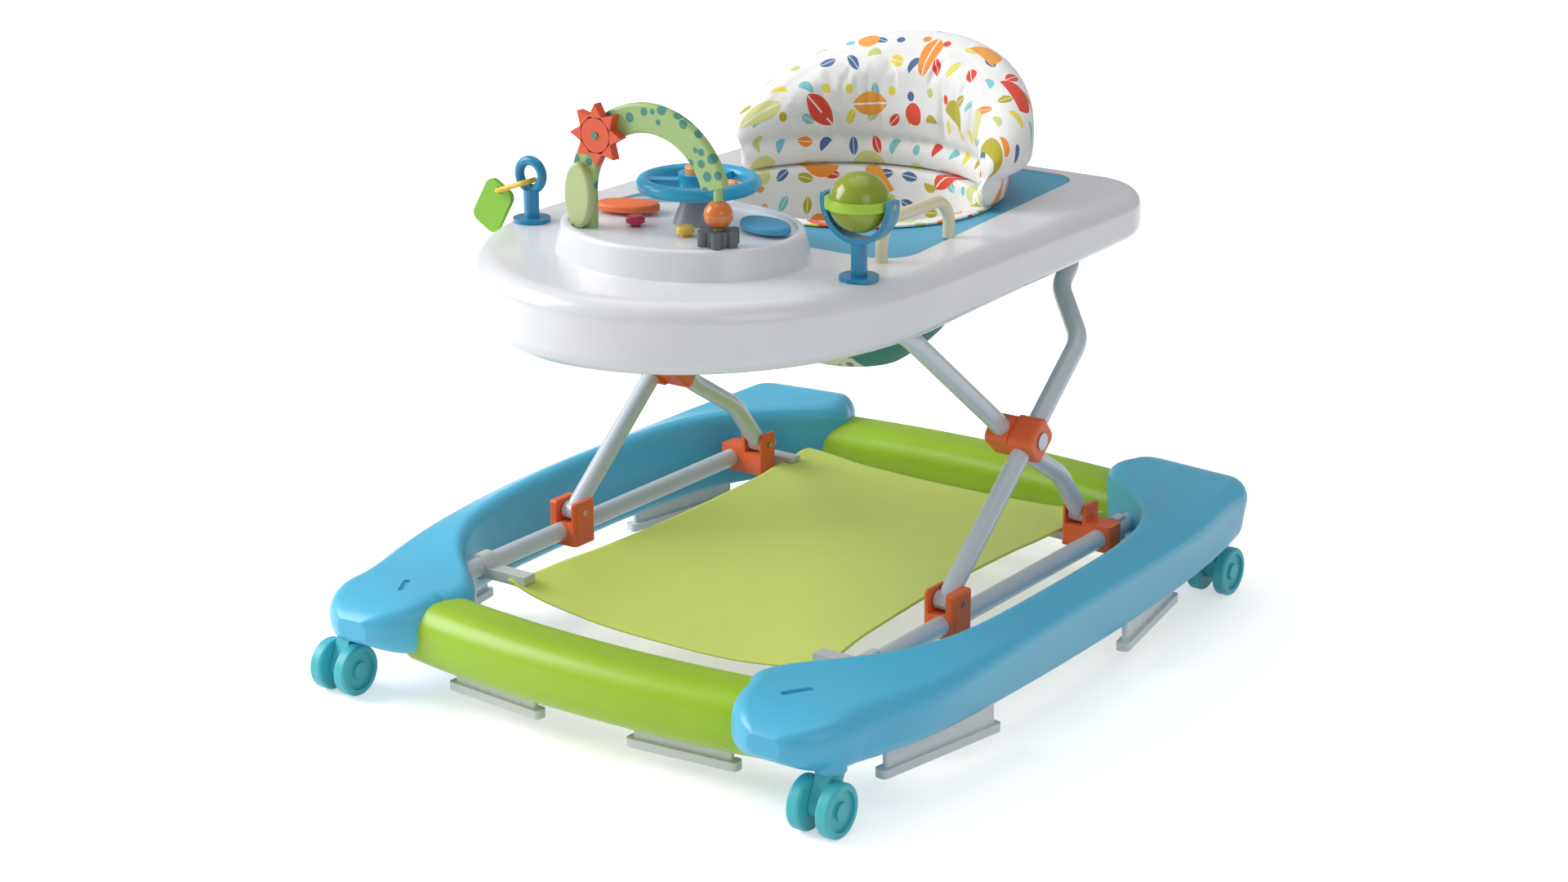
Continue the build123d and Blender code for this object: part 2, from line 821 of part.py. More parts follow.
# Tray shell: white moulding with a bullnose rim, hollow underneath, open for the deck panel
def tray_outline(inset):
    """Half an ellipse in front, straight sides and a round-cornered rear edge."""
    half = tray_half_width - inset
    rear = tray_rear_y - inset
    corner = tray_corner - inset
    with BuildLine() as outline:
        EllipticalCenterArc((0, tray_front_centre_y), half, tray_front_reach - inset, 180, arc_size=180)
        Line((half, tray_front_centre_y), (half, rear - corner))
        RadiusArc((half, rear - corner), (half - corner, rear), -corner)
        Line((half - corner, rear), (-half + corner, rear))
        RadiusArc((-half + corner, rear), (-half, rear - corner), -corner)
        Line((-half, rear - corner), (-half, tray_front_centre_y))
    make_face(outline.line.edges())


def deck_outline(grow):
    """The round-cornered wedge that the deck panel fills, grown on every side."""
    with BuildSketch(mode=Mode.PRIVATE) as wedge:
        Polygon(
            (-deck_front_half - grow, deck_front_y - grow),
            (deck_front_half + grow, deck_front_y - grow),
            (deck_rear_half + grow, deck_rear_y + grow),
            (-deck_rear_half - grow, deck_rear_y + grow),
            align=None,
        )
        fillet(wedge.vertices(), deck_corner + grow)
    return wedge.sketch


tray_front_y = tray_front_centre_y - tray_front_reach
under_way = (0, tray_front_bottom - tray_bottom, tray_rear_y - tray_front_y)
with BuildPart() as tray_shell:
    with BuildSketch(Plane.XY.offset(tray_front_bottom)):
        tray_outline(0)
    extrude(amount=tray_top - tray_front_bottom)
    underside = Plane(origin=(0, tray_front_y, tray_front_bottom), x_dir=(1, 0, 0), z_dir=under_way)
    split(bisect_by=underside, keep=Keep.TOP)
    fillet(tray_shell.faces().sort_by(Axis.Z)[-1].edges(), tray_top_round)
    fillet(tray_shell.faces().sort_by(Axis.Z)[0].edges(), tray_bottom_round)
    with BuildSketch(Plane.XY.offset(tray_front_bottom)):
        tray_outline(rim_width)
    extrude(amount=tray_ceiling - tray_front_bottom, mode=Mode.SUBTRACT)
    with BuildSketch(Plane.XY.offset(tray_ceiling)):
        add(deck_outline(0))
    extrude(amount=2 * tray_skin, mode=Mode.SUBTRACT)
save(tray_shell, "tray_shell")

# Deck panel: blue plate lapped under the shell, with the seat hole through it
with BuildPart() as deck_panel:
    with BuildSketch(Plane.XY.offset(deck_under)):
        add(deck_outline(deck_lip))
    extrude(amount=deck_thickness)
    with BuildSketch(Plane.XY.offset(tray_ceiling)):
        add(deck_outline(-free_gap))
    extrude(amount=deck_top - tray_ceiling)
    with BuildSketch(Plane.XY.offset(deck_under)):
        with Locations((0, hole_y)):
            Ellipse(hole_half_width, hole_half_length)
    extrude(amount=2 * tray_skin + deck_thickness, mode=Mode.SUBTRACT)
save(deck_panel, "deck_panel")

# Slide shoes on the front cross tube, in channels under the tray
shoe_radius = tube_radius + shoe_wall
channel_under = tray_pivot_z + shoe_radius + free_gap
head_from = channel_under + channel_wall + free_gap
channel_half = shoe_head_width / 2 + free_gap + channel_wall
with BuildPart() as tray_slide_shoes:
    for x_sign in (-1, 1):
        shoe_at = x_sign * shoe_x
        shoe_from = shoe_at - shoe_width / 2
        pin_along_x(tray_front_pivot_y, tray_pivot_z, shoe_from, shoe_from + shoe_width, shoe_radius)
        with BuildSketch(Plane.XY.offset(tray_pivot_z)):
            with Locations((shoe_at, tray_front_pivot_y)):
                Rectangle(shoe_neck, shoe_radius)
        extrude(amount=head_from - tray_pivot_z)
        with BuildSketch(Plane.XY.offset(head_from)):
            with Locations((shoe_at, tray_front_pivot_y)):
                RectangleRounded(shoe_head_width, shoe_length, shoe_wall)
        extrude(amount=shoe_head_height)
        pin_along_x(
            tray_front_pivot_y,
            tray_pivot_z,
            shoe_at - shoe_width,
            shoe_at + shoe_width,
            tube_radius + running_gap,
            Mode.SUBTRACT,
        )
save(tray_slide_shoes, "tray_slide_shoes")

with BuildPart() as slide_channels:
    channel_from = tray_front_pivot_y - shoe_travel - shoe_length / 2 - channel_end
    channel_to = tray_front_pivot_y + shoe_length / 2 + free_gap
    channel_length = channel_to - channel_from
    for x_sign in (-1, 1):
        with BuildSketch(Plane.XZ.offset(-channel_to)):
            with Locations((x_sign * shoe_x, (channel_under + tray_ceiling) / 2)):
                Rectangle(2 * channel_half, tray_ceiling - channel_under)
            with Locations((x_sign * shoe_x, head_from + shoe_head_height / 2)):
                Rectangle(
                    shoe_head_width + 2 * free_gap, shoe_head_height + 2 * free_gap, mode=Mode.SUBTRACT
                )
            with Locations((x_sign * shoe_x, channel_under + channel_wall / 2)):
                Rectangle(shoe_neck + 2 * free_gap, channel_wall + 1, mode=Mode.SUBTRACT)
        extrude(amount=channel_length)
    add(deck_panel.part, mode=Mode.SUBTRACT)
save(slide_channels, "slide_channels")

# Saddles under the deck panel that hold the rear cross tube
with BuildPart() as rear_tube_saddles:
    saddle_half = tube_radius + saddle_wall
    for x_sign in (-1, 1):
        saddle_at = x_sign * saddle_x
        with BuildSketch(Plane.YZ.offset(saddle_at - saddle_width / 2)):
            with Locations((tray_rear_pivot_y, tray_pivot_z)):
                Circle(saddle_half)
            with Locations((tray_rear_pivot_y, (tray_pivot_z + deck_under) / 2)):
                Rectangle(2 * saddle_half, deck_under - tray_pivot_z)
            with Locations((tray_rear_pivot_y, tray_pivot_z)):
                Circle(tube_radius + running_gap, mode=Mode.SUBTRACT)
        extrude(amount=saddle_width)
save(rear_tube_saddles, "rear_tube_saddles")


# Seat sling: a cloth bucket hung in the deck's hole, with two leg holes
def sling_station(z, share, inset):
    """One level of the bucket, a share of the hole's size, drawn in by the cloth's thickness."""
    half_width = (hole_half_width - free_gap) * share - inset
    half_length = (hole_half_length - free_gap) * share - inset
    with BuildSketch(Plane.XY.offset(z)) as section:
        with Locations((0, hole_y)):
            Ellipse(half_width, half_length)
    return section.sketch


with BuildPart() as seat_sling:
    sling_top = deck_top + sling_flange_height
    bucket_sections = [
        sling_station(sling_bottom, sling_base_share, 0),
        sling_station(sling_knee_z, sling_knee_share, 0),
        sling_station(sling_waist_z, sling_waist_share, 0),
        sling_station(sling_top, sling_top_share, 0),
    ]
    loft(bucket_sections)
    with BuildSketch(Plane.XY.offset(deck_top + free_gap / 2)):
        with Locations((0, hole_y)):
            Ellipse(hole_half_width + sling_flange, hole_half_length + sling_flange)
    extrude(amount=sling_flange_height - free_gap / 2)
    hollow_sections = [
        sling_station(sling_bottom + sling_wall, sling_base_share, sling_wall),
        sling_station(sling_knee_z, sling_knee_share, sling_wall),
        sling_station(sling_waist_z, sling_waist_share, sling_wall),
        sling_station(sling_top + free_gap, sling_top_share, sling_wall),
    ]
    loft(hollow_sections, mode=Mode.SUBTRACT)
    for x_sign in (-1, 1):
        turn = radians(leg_hole_turn)
        dip = radians(leg_hole_dip)
        leg_way = (x_sign * sin(turn) * cos(dip), -cos(turn) * cos(dip), -sin(dip))
        hole_middle = (x_sign * leg_hole_x, leg_hole_y, leg_hole_z)
        across = (cos(turn), x_sign * sin(turn), 0)
        with BuildSketch(Plane(origin=hole_middle, x_dir=across, z_dir=leg_way)):
            Ellipse(leg_hole_width / 2, leg_hole_height / 2)
        extrude(amount=leg_hole_height, both=True, mode=Mode.SUBTRACT)
save(seat_sling, "seat_sling")


# Seat back: a padded bolster that wraps round the rear of the seat on a sewn foot
def back_station(angle, bottom, top, thickness):
    """An upright cross-section of the back, standing outwards from the edge of the seat hole."""
    turn = radians(angle)
    edge = Vector(hole_half_width * cos(turn), hole_y + hole_half_length * sin(turn), (bottom + top) / 2)
    along = Vector(-hole_half_width * sin(turn), hole_half_length * cos(turn), 0).normalized()
    outward = Vector(along.Y, -along.X, 0)
    with BuildSketch(Plane(origin=edge + outward * thickness / 2, x_dir=(0, 0, 1), z_dir=along)) as section:
        RectangleRounded(top - bottom, thickness, back_softness * min(thickness, top - bottom))
    return section.sketch


with BuildPart() as seat_back:
    back_bottom = deck_top + sling_flange_height + free_gap
    seam_z = back_bottom + back_seam_height
    wing_span = 90 - back_wing_angle
    angles = [90 + wing_span * share for share in (-1, -0.66, -0.33, 0, 0.33, 0.66, 1)]
    bolster_sections = []
    foot_sections = []
    for angle in angles:
        rise = sin(radians(angle))
        top = between(back_wing_top, back_top, rise**back_crest_power)
        thickness = back_thickness * between(back_wing_share, 1, rise)
        bolster_sections.append(back_station(angle, seam_z - back_seam_lap, top, thickness))
        foot_sections.append(back_station(angle, back_bottom, seam_z + back_seam_lap, back_foot_thickness))
    loft(bolster_sections)
    loft(foot_sections)
save(seat_back, "seat_back_cushion")

# Ball post: a fork on a foot, and the ball that spins between its arms
ball_z = tray_top + ball_height
with BuildPart() as ball_post:
    fork_inner = band_diameter / 2 + 2 * free_gap
    fork_outer = fork_inner + fork_wall
    with BuildSketch(Plane.XY.offset(tray_top)):
        with Locations((post_x, post_y)):
            Circle(post_foot_diameter / 2)
    extrude(amount=post_foot_height)
    with BuildSketch(Plane.XY.offset(tray_top)):
        with Locations((post_x, post_y)):
            Circle(post_stem_diameter / 2)
    extrude(amount=ball_height - fork_inner - fork_wall / 2)
    with BuildSketch(Plane.XZ.offset(-post_y - fork_width / 2)):
        with Locations((post_x, ball_z)):
            Circle(fork_outer)
            Circle(fork_inner, mode=Mode.SUBTRACT)
            with Locations((0, fork_outer / 2 + ball_pin_diameter)):
                Rectangle(3 * fork_outer, fork_outer, mode=Mode.SUBTRACT)
    extrude(amount=fork_width)
    pin_along_x(
        post_y,
        ball_z,
        post_x - 2 * fork_outer,
        post_x + 2 * fork_outer,
        ball_pin_diameter / 2 + running_gap,
        Mode.SUBTRACT,
    )
save(ball_post, "ball_post")

with BuildPart() as ball_spinner:
    ball_radius = ball_diameter / 2
    pin_radius = ball_pin_diameter / 2
    pin_meets = (ball_radius**2 - pin_radius**2) ** 0.5
    with BuildSketch(Plane(origin=(post_x, post_y, ball_z), x_dir=(1, 0, 0), z_dir=(0, -1, 0))):
        with BuildLine():
            Polyline((-pin_meets, pin_radius), (-fork_outer, pin_radius), (-fork_outer, 0))
            Line((-fork_outer, 0), (fork_outer, 0))
            Polyline((fork_outer, 0), (fork_outer, pin_radius), (pin_meets, pin_radius))
            ThreePointArc((pin_meets, pin_radius), (0, ball_radius), (-pin_meets, pin_radius))
        make_face()
    revolve(axis=Axis((post_x, post_y, ball_z), (1, 0, 0)))
save(ball_spinner, "ball_spinner")

with BuildPart() as ball_band:
    with BuildSketch(Plane.XY.offset(ball_z - band_height / 2)):
        with Locations((post_x, post_y)):
            Circle(band_diameter / 2)
            Circle(ball_diameter / 2 - free_gap, mode=Mode.SUBTRACT)
    extrude(amount=band_height)
    add(ball_spinner.part, mode=Mode.SUBTRACT)
save(ball_band, "ball_band")

# Loop post, with a link that hangs from it and a tag on the link
loop_z = tray_top + loop_height
with BuildPart() as loop_post:
    loop_radius = (loop_diameter - loop_wire) / 2
    with BuildSketch(Plane.XY.offset(tray_top)):
        with Locations((-post_x, post_y)):
            Circle(post_foot_diameter / 2)
    extrude(amount=post_foot_height)
    with BuildSketch(Plane.XY.offset(tray_top)):
        with Locations((-post_x, post_y)):
            Circle(post_stem_diameter / 2)
    extrude(amount=loop_height - loop_radius)
    with BuildSketch(Plane.XY.offset(loop_z)):
        with Locations((-post_x + loop_radius, post_y)):
            Circle(loop_wire / 2)
    revolve(axis=Axis((-post_x, post_y, loop_z), (0, 1, 0)))
save(loop_post, "loop_post")

link_way = Vector(-cos(radians(link_tilt)), 0, -sin(radians(link_tilt)))
hang_drop = loop_diameter / 2 - loop_wire - link_wire / 2 - free_gap
link_near = Vector(-post_x, post_y, loop_z - hang_drop)
link_far = link_near + link_way * link_length
with BuildPart() as toy_link:
    link_bend = (link_width - link_wire) / 2
    link_plane = Plane(origin=link_near, x_dir=link_way, z_dir=link_way.cross(Vector(0, 1, 0)))
    with BuildLine(link_plane) as link_path:
        FilletPolyline(
            (0, -link_bend),
            (0, link_bend),
            (link_length, link_bend),
            (link_length, -link_bend),
            radius=link_bend * link_bend_share,
            close=True,
        )
    with BuildSketch(Plane(origin=link_path.line @ 0, z_dir=link_path.line % 0)):
        Circle(link_wire / 2)
    sweep(path=link_path.wire())
save(toy_link, "toy_link")

with BuildPart() as toy_tag:
    tag_way = Vector(-cos(radians(tag_tilt)), 0, -sin(radians(tag_tilt)))
    tag_plane = Plane(
        origin=link_far + Vector(0, tag_thickness / 2, 0), x_dir=tag_way, z_dir=(0, -1, 0)
    )
    with BuildSketch(tag_plane):
        with Locations((tag_length / 2 - link_wire, 0)):
            RectangleRounded(tag_length, tag_width, tag_width / 4)
        Circle(link_wire / 2 + 2 * free_gap, mode=Mode.SUBTRACT)
    extrude(amount=tag_thickness)
save(toy_tag, "toy_tag")

# Grab handle: a bent bar with two feet on the tray
with BuildPart() as grab_handle:
    with BuildLine() as handle_path:
        FilletPolyline(
            (handle_x, handle_rear_y, tray_top),
            (handle_x, handle_rear_y, tray_top + handle_height),
            (handle_x, handle_front_y, tray_top + handle_height),
            (handle_x, handle_front_y, tray_top),
            radius=handle_bend,
        )
    with BuildSketch(Plane.XY.offset(tray_top)):
        with Locations((handle_x, handle_rear_y)):
            Circle(handle_diameter / 2)
    sweep(path=handle_path.line)
save(grab_handle, "grab_handle")

# Play tray: a tapered dish with a sunk panel, hollow underneath
presses = (
    (orange_pad_x, orange_pad_y),
    (blue_pad_x, blue_pad_y),
    (red_button_x, red_button_y),
    (yellow_button_x, yellow_button_y),
)


def dish_ring(z, inset):
    """One level of the dish's oval, drawn in by an inset."""
    with BuildSketch(Plane.XY.offset(z)) as section:
        with Locations((0, dish_y)):
            Ellipse(dish_half_width - inset, dish_half_length - inset)
    return section.sketch


with BuildPart() as play_tray_dish:
    loft([dish_ring(dish_base, 0), dish_ring(dish_top, dish_taper)])
    fillet(play_tray_dish.faces().sort_by(Axis.Z)[-1].edges(), dish_round)
    recess = dish_ring(panel_top, dish_taper + 2 * dish_skin)
    extrude(recess, amount=2 * dish_recess, mode=Mode.SUBTRACT)
    underside = dish_ring(dish_base, dish_taper + 2 * dish_skin)
    extrude(underside, amount=panel_top - dish_skin - dish_base, mode=Mode.SUBTRACT)
    with BuildSketch(Plane.XY.offset(dish_base)):
        with Locations(*presses):
            Circle(press_stem_diameter / 2 + free_gap)
    extrude(amount=2 * dish_height, mode=Mode.SUBTRACT)
save(play_tray_dish, "play_tray_dish")

# Steering column and wheel, with a horn button in the hub
hub_under = panel_top + column_height
with BuildPart() as steering_column:
    with BuildSketch(Plane.XY.offset(panel_top)):
        with Locations((0, column_y)):
            Circle(column_foot_diameter / 2)
    with BuildSketch(Plane.XY.offset(hub_under - free_gap)):
        with Locations((0, column_y)):
            Circle(column_top_diameter / 2)
    loft()
    with BuildSketch(Plane.XY.offset(hub_under - free_gap)):
        with Locations((0, column_y)):
            Circle(wheel_spigot_diameter / 2)
    extrude(amount=wheel_spigot_height)
save(steering_column, "steering_column")

wheel_level = hub_under + toy_hub_height / 2
hub_top = hub_under + toy_hub_height
with BuildPart() as steering_wheel:
    rim_radius = (toy_wheel_diameter - toy_wheel_rim) / 2
    with BuildSketch(Plane.XZ.offset(-column_y)):
        with Locations((rim_radius, wheel_level)):
            Circle(toy_wheel_rim / 2)
    revolve(axis=Axis((0, column_y, 0), (0, 0, 1)))
    with BuildSketch(Plane.XY.offset(hub_under)):
        with Locations((0, column_y)):
            Circle(toy_hub_diameter / 2)
    extrude(amount=toy_hub_height)
    with BuildSketch(Plane.XY.offset(wheel_level - toy_wheel_rim / 4)):
        with Locations((0, column_y)):
            with PolarLocations(rim_radius / 2, spoke_count, start_angle=90):
                Rectangle(rim_radius, spoke_width)
    extrude(amount=toy_wheel_rim / 2)
    with BuildSketch(Plane.XY.offset(hub_under)):
        with Locations((0, column_y)):
            Circle(wheel_spigot_diameter / 2 + running_gap)
    extrude(amount=wheel_spigot_height, mode=Mode.SUBTRACT)
    with BuildSketch(Plane.XY.offset(hub_top)):
        with Locations((0, column_y)):
            Circle(horn_diameter / 2 + free_gap)
    extrude(amount=-horn_travel - 2 * free_gap, mode=Mode.SUBTRACT)
save(steering_wheel, "steering_wheel")

horn_under = hub_top - free_gap
with BuildPart() as horn_button:
    with BuildSketch(Plane.XY.offset(horn_under)):
        with Locations((0, column_y)):
            Circle(horn_diameter / 2)
    extrude(amount=horn_height)
    fillet(horn_button.faces().sort_by(Axis.Z)[-1].edges(), horn_height / 3)
save(horn_button, "horn_button")


# Press pads and buttons: domed caps on stems that go down through the panel
def press_stem(x, y, rise):
    """The stem of a pad or button, through the panel up into its cap."""
    with BuildSketch(Plane.XY.offset(panel_top + rise - press_stem_length)) as section:
        with Locations((x, y)):
            Circle(press_stem_diameter / 2)
    extrude(section.sketch, amount=press_stem_length)


press_rise = pad_press + free_gap
for name, pad_x, pad_y, lean in (
    ("orange_pad", orange_pad_x, orange_pad_y, petal_lean),
    ("blue_pad", blue_pad_x, blue_pad_y, -petal_lean),
):
    with BuildPart() as pad:
        with BuildSketch(Plane.XY.offset(panel_top + press_rise)):
            with Locations(Location((pad_x, pad_y), lean)):
                Ellipse(petal_length / 2, petal_width / 2)
        extrude(amount=petal_height)
        fillet(pad.faces().sort_by(Axis.Z)[-1].edges(), petal_height / 2)
        press_stem(pad_x, pad_y, press_rise)
    save(pad, name)

for name, button_x, button_y in (
    ("red_button", red_button_x, red_button_y),
    ("yellow_button", yellow_button_x, yellow_button_y),
):
    with BuildPart() as button:
        with BuildSketch(Plane.XY.offset(panel_top + press_rise)):
            with Locations((button_x, button_y)):
                Circle(button_diameter / 2)
        extrude(amount=button_height)
        fillet(button.faces().sort_by(Axis.Z)[-1].edges(), button_height / 2)
        press_stem(button_x, button_y, press_rise)
    save(button, name)

# Toy arch: a flat band that thins to a rod on its right, standing on the play tray
arch_centre_z = dish_top + arch_height - arch_half_span
band_start = radians(arch_band_start)
band_end_z = arch_centre_z + arch_half_span * sin(band_start)
with BuildPart() as toy_arch:
    with BuildLine() as arch_path:
        half_turn = ThreePointArc(
            (arch_half_span * cos(band_start), arch_y, band_end_z),
            (0, arch_y, arch_centre_z + arch_half_span),
            (-arch_half_span, arch_y, arch_centre_z),
        )
        Line(half_turn @ 1, (-arch_half_span, arch_y, panel_top))
    with BuildSketch(Plane(origin=arch_path.line @ 0, x_dir=(0, 1, 0), z_dir=arch_path.line % 0)):
        RectangleRounded(arch_band_thickness, arch_band_width, arch_band_thickness / 3)
    sweep(path=arch_path.line)
    bar(
        (arch_half_span, arch_y, panel_top),
        (arch_half_span, arch_y, band_end_z + arch_band_thickness),
        arch_rod_diameter / 2,
    )
    star_turn = radians(star_angle)
    star_x = arch_half_span * cos(star_turn)
    star_z = arch_centre_z + arch_half_span * sin(star_turn)
    pin_reach = arch_band_thickness / 2 + free_gap + star_thickness + pin_head
    bar((star_x, arch_y, star_z), (star_x, arch_y - pin_reach, star_z), star_pin_diameter / 2)
save(toy_arch, "toy_arch")

with BuildPart() as arch_leaf:
    leaf_middle = panel_top + leaf_height / 2
    with BuildSketch(Plane.XZ.offset(-arch_y + arch_band_thickness / 2)):
        with Locations((-arch_half_span, leaf_middle)):
            Ellipse(leaf_width / 2, leaf_height / 2)
    extrude(amount=leaf_thickness / 2)
    fillet(arch_leaf.faces().sort_by(Axis.Y)[0].edges(), leaf_thickness / 5)
save(arch_leaf, "arch_leaf")

with BuildPart() as star_spinner:
    star_back = arch_y - arch_band_thickness / 2 - free_gap
    with BuildSketch(Plane.XZ.offset(-star_back)):
        with Locations((star_x, star_z)):
            Circle(star_root_diameter / 2)
            with PolarLocations((star_diameter + star_root_diameter) / 4, star_points):
                RegularPolygon(star_diameter / 6, 3, major_radius=True)
            Circle(star_pin_diameter / 2 + running_gap, mode=Mode.SUBTRACT)
    extrude(amount=star_thickness)
save(star_spinner, "star_spinner")

with BuildPart() as gear_knob:
    with BuildSketch(Plane.XY.offset(dish_top + free_gap)):
        with Locations((arch_half_span, arch_y)):
            Circle(gear_root_diameter / 2)
            with PolarLocations(gear_root_diameter / 2, gear_petals):
                Circle((gear_diameter - gear_root_diameter) / 2)
            Circle(arch_rod_diameter / 2 + running_gap, mode=Mode.SUBTRACT)
    extrude(amount=gear_height)
save(gear_knob, "gear_knob")

with BuildPart() as bead:
    bead_z = dish_top + 2 * free_gap + gear_height + bead_diameter / 2
    bead_half = bead_diameter / 2
    with BuildSketch(Plane.XZ.offset(-arch_y)):
        with BuildLine():
            Line((arch_half_span, bead_z - bead_half), (arch_half_span, bead_z + bead_half))
            ThreePointArc(
                (arch_half_span, bead_z + bead_half),
                (arch_half_span + bead_half, bead_z),
                (arch_half_span, bead_z - bead_half),
            )
        make_face()
    revolve(axis=Axis((arch_half_span, arch_y, bead_z), (0, 0, 1)))
    bar(
        (arch_half_span, arch_y, bead_z - bead_diameter),
        (arch_half_span, arch_y, bead_z + bead_diameter),
        arch_rod_diameter / 2 + running_gap,
        Mode.SUBTRACT,
    )
save(bead, "bead")

print("leg angle", round(leg_angle, 3))
print("tray pivots", round(tray_front_pivot_y, 3), round(tray_rear_pivot_y, 3))
print("pivot z", pivot_z, "cross y", cross_y, "shoe travel", round(shoe_travel, 2))
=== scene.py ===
"""Baby walker and rocker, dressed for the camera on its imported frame.

Metres, +Z up, the child faces -Y. The rigid pieces keep their solids and get finishes here. The seat back,
the seat sling and the foot mat are made here as padding and cloth.
"""

from math import cos, pi, radians, sin

import bmesh
import bpy
import numpy as np
from bpy.props import FloatProperty, FloatVectorProperty, PointerProperty
from bpy.types import Operator, Panel, PropertyGroup
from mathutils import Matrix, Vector


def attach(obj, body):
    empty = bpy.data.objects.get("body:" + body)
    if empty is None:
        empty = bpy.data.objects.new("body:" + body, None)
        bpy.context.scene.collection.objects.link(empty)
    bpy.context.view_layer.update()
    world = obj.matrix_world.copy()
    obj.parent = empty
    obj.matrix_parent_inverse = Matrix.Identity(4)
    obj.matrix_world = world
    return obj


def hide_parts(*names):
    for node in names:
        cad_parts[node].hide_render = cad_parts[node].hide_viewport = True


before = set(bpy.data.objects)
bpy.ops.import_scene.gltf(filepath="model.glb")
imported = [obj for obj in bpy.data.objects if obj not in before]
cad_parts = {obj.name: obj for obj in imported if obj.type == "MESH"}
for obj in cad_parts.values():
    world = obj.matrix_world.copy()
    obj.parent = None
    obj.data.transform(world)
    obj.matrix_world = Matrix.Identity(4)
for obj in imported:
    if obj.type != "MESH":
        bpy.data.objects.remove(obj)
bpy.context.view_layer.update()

bl_info = {
    "name": "Walker Seat Dresser",
    "version": (1, 0, 0),
    "blender": (4, 5, 0),
    "location": "View3D > Sidebar > Walker",
    "description": "Dresses a baby walker's frame with padding, cloth and finishes",
    "category": "Object",
}

MM = 0.001


def linear(hex_value):
    """An sRGB hex colour as linear red, green and blue."""
    parts = np.array([int(hex_value[i : i + 2], 16) for i in (1, 3, 5)]) / 255
    return tuple(np.where(parts <= 0.04045, parts / 12.92, ((parts + 0.055) / 1.055) ** 2.4))


def colour(name, description, hex_value):
    """A colour that a user may change, with its default as an sRGB hex value."""
    return FloatVectorProperty(
        name=name, description=description, default=linear(hex_value), subtype="COLOR", size=3, min=0, max=1
    )


def length(name, description, millimetres):
    """A size that a user may change, with its default in millimetres."""
    return FloatProperty(name=name, description=description, default=millimetres * MM, unit="LENGTH", min=0)


class WalkerColours(PropertyGroup):
    """The colours of the walker's pieces."""

    runner: colour("Runner", "Sky blue of the moulded runners", "#52bbe0")
    rail: colour("Rail", "Lime green of the cross rails", "#9fc524")
    steel: colour("Leg tube", "Silver grey of the coated tubes", "#d2dae2")
    pin: colour("Pin", "Bare steel of the pins", "#aeb4ba")
    caster: colour("Caster", "Teal of the caster wheels", "#4cbfca")
    connector: colour("Connector", "Orange of the blocks, sliders and brackets", "#ee6a36")
    clip: colour("Mat clip", "Pale grey of the mat clips", "#c9cdcc")
    mat: colour("Foot mat", "Lime green of the mat cloth", "#d8e663")
    stopper: colour("Stopper pad", "Frosted soft plastic under the rails", "#eef2f2")
    tray: colour("Tray", "White of the tray shell and the play tray", "#e3e5ea")
    deck: colour("Deck", "Sky blue of the deck panel", "#4fa9cb")
    slide: colour("Slide", "Off-white of the slides under the tray", "#dfe2e6")
    cloth: colour("Seat cloth", "White ground of the printed cloth", "#f0efee")
    binding: colour("Binding", "Teal of the sewn binding", "#138a8e")
    post: colour("Post", "Deep blue of the toy posts", "#1c84ae")
    ball: colour("Ball", "Olive green of the spinning ball", "#8f9f28")
    band: colour("Ball band", "Lime band round the ball", "#a5cc3a")
    link: colour("Link", "Yellow of the toy link", "#e8bb32")
    tag: colour("Tag", "Green of the toy tag", "#7dbb22")
    arch: colour("Arch", "Sage green of the toy arch", "#9dbb78")
    arch_print: colour("Arch print", "Dark teal of the arch's print", "#3f8579")
    leaf: colour("Arch leaf", "Pale green of the leaf", "#b9c98f")
    star: colour("Star", "Orange red of the star", "#dc5430")
    gear: colour("Gear", "Dark grey of the gear", "#5b5f66")
    bead: colour("Bead", "Orange of the bead", "#d97a35")
    column: colour("Column", "Grey of the steering column", "#8f959b")
    wheel: colour("Wheel", "Blue of the steering wheel", "#2fa5d0")
    horn: colour("Horn", "Apricot of the horn button", "#f0a35f")
    orange_pad: colour("Orange pad", "Orange of the left pad", "#f2753f")
    blue_pad: colour("Blue pad", "Blue of the right pad", "#459dc8")
    red_button: colour("Red button", "Red of the small button", "#bc2f4b")
    yellow_button: colour("Yellow button", "Yellow of the small button", "#e6c552")
    handle: colour("Handle", "Cream of the grab handle", "#e3dbba")
    floor: colour("Floor", "Pale studio floor", "#f4f4f4")


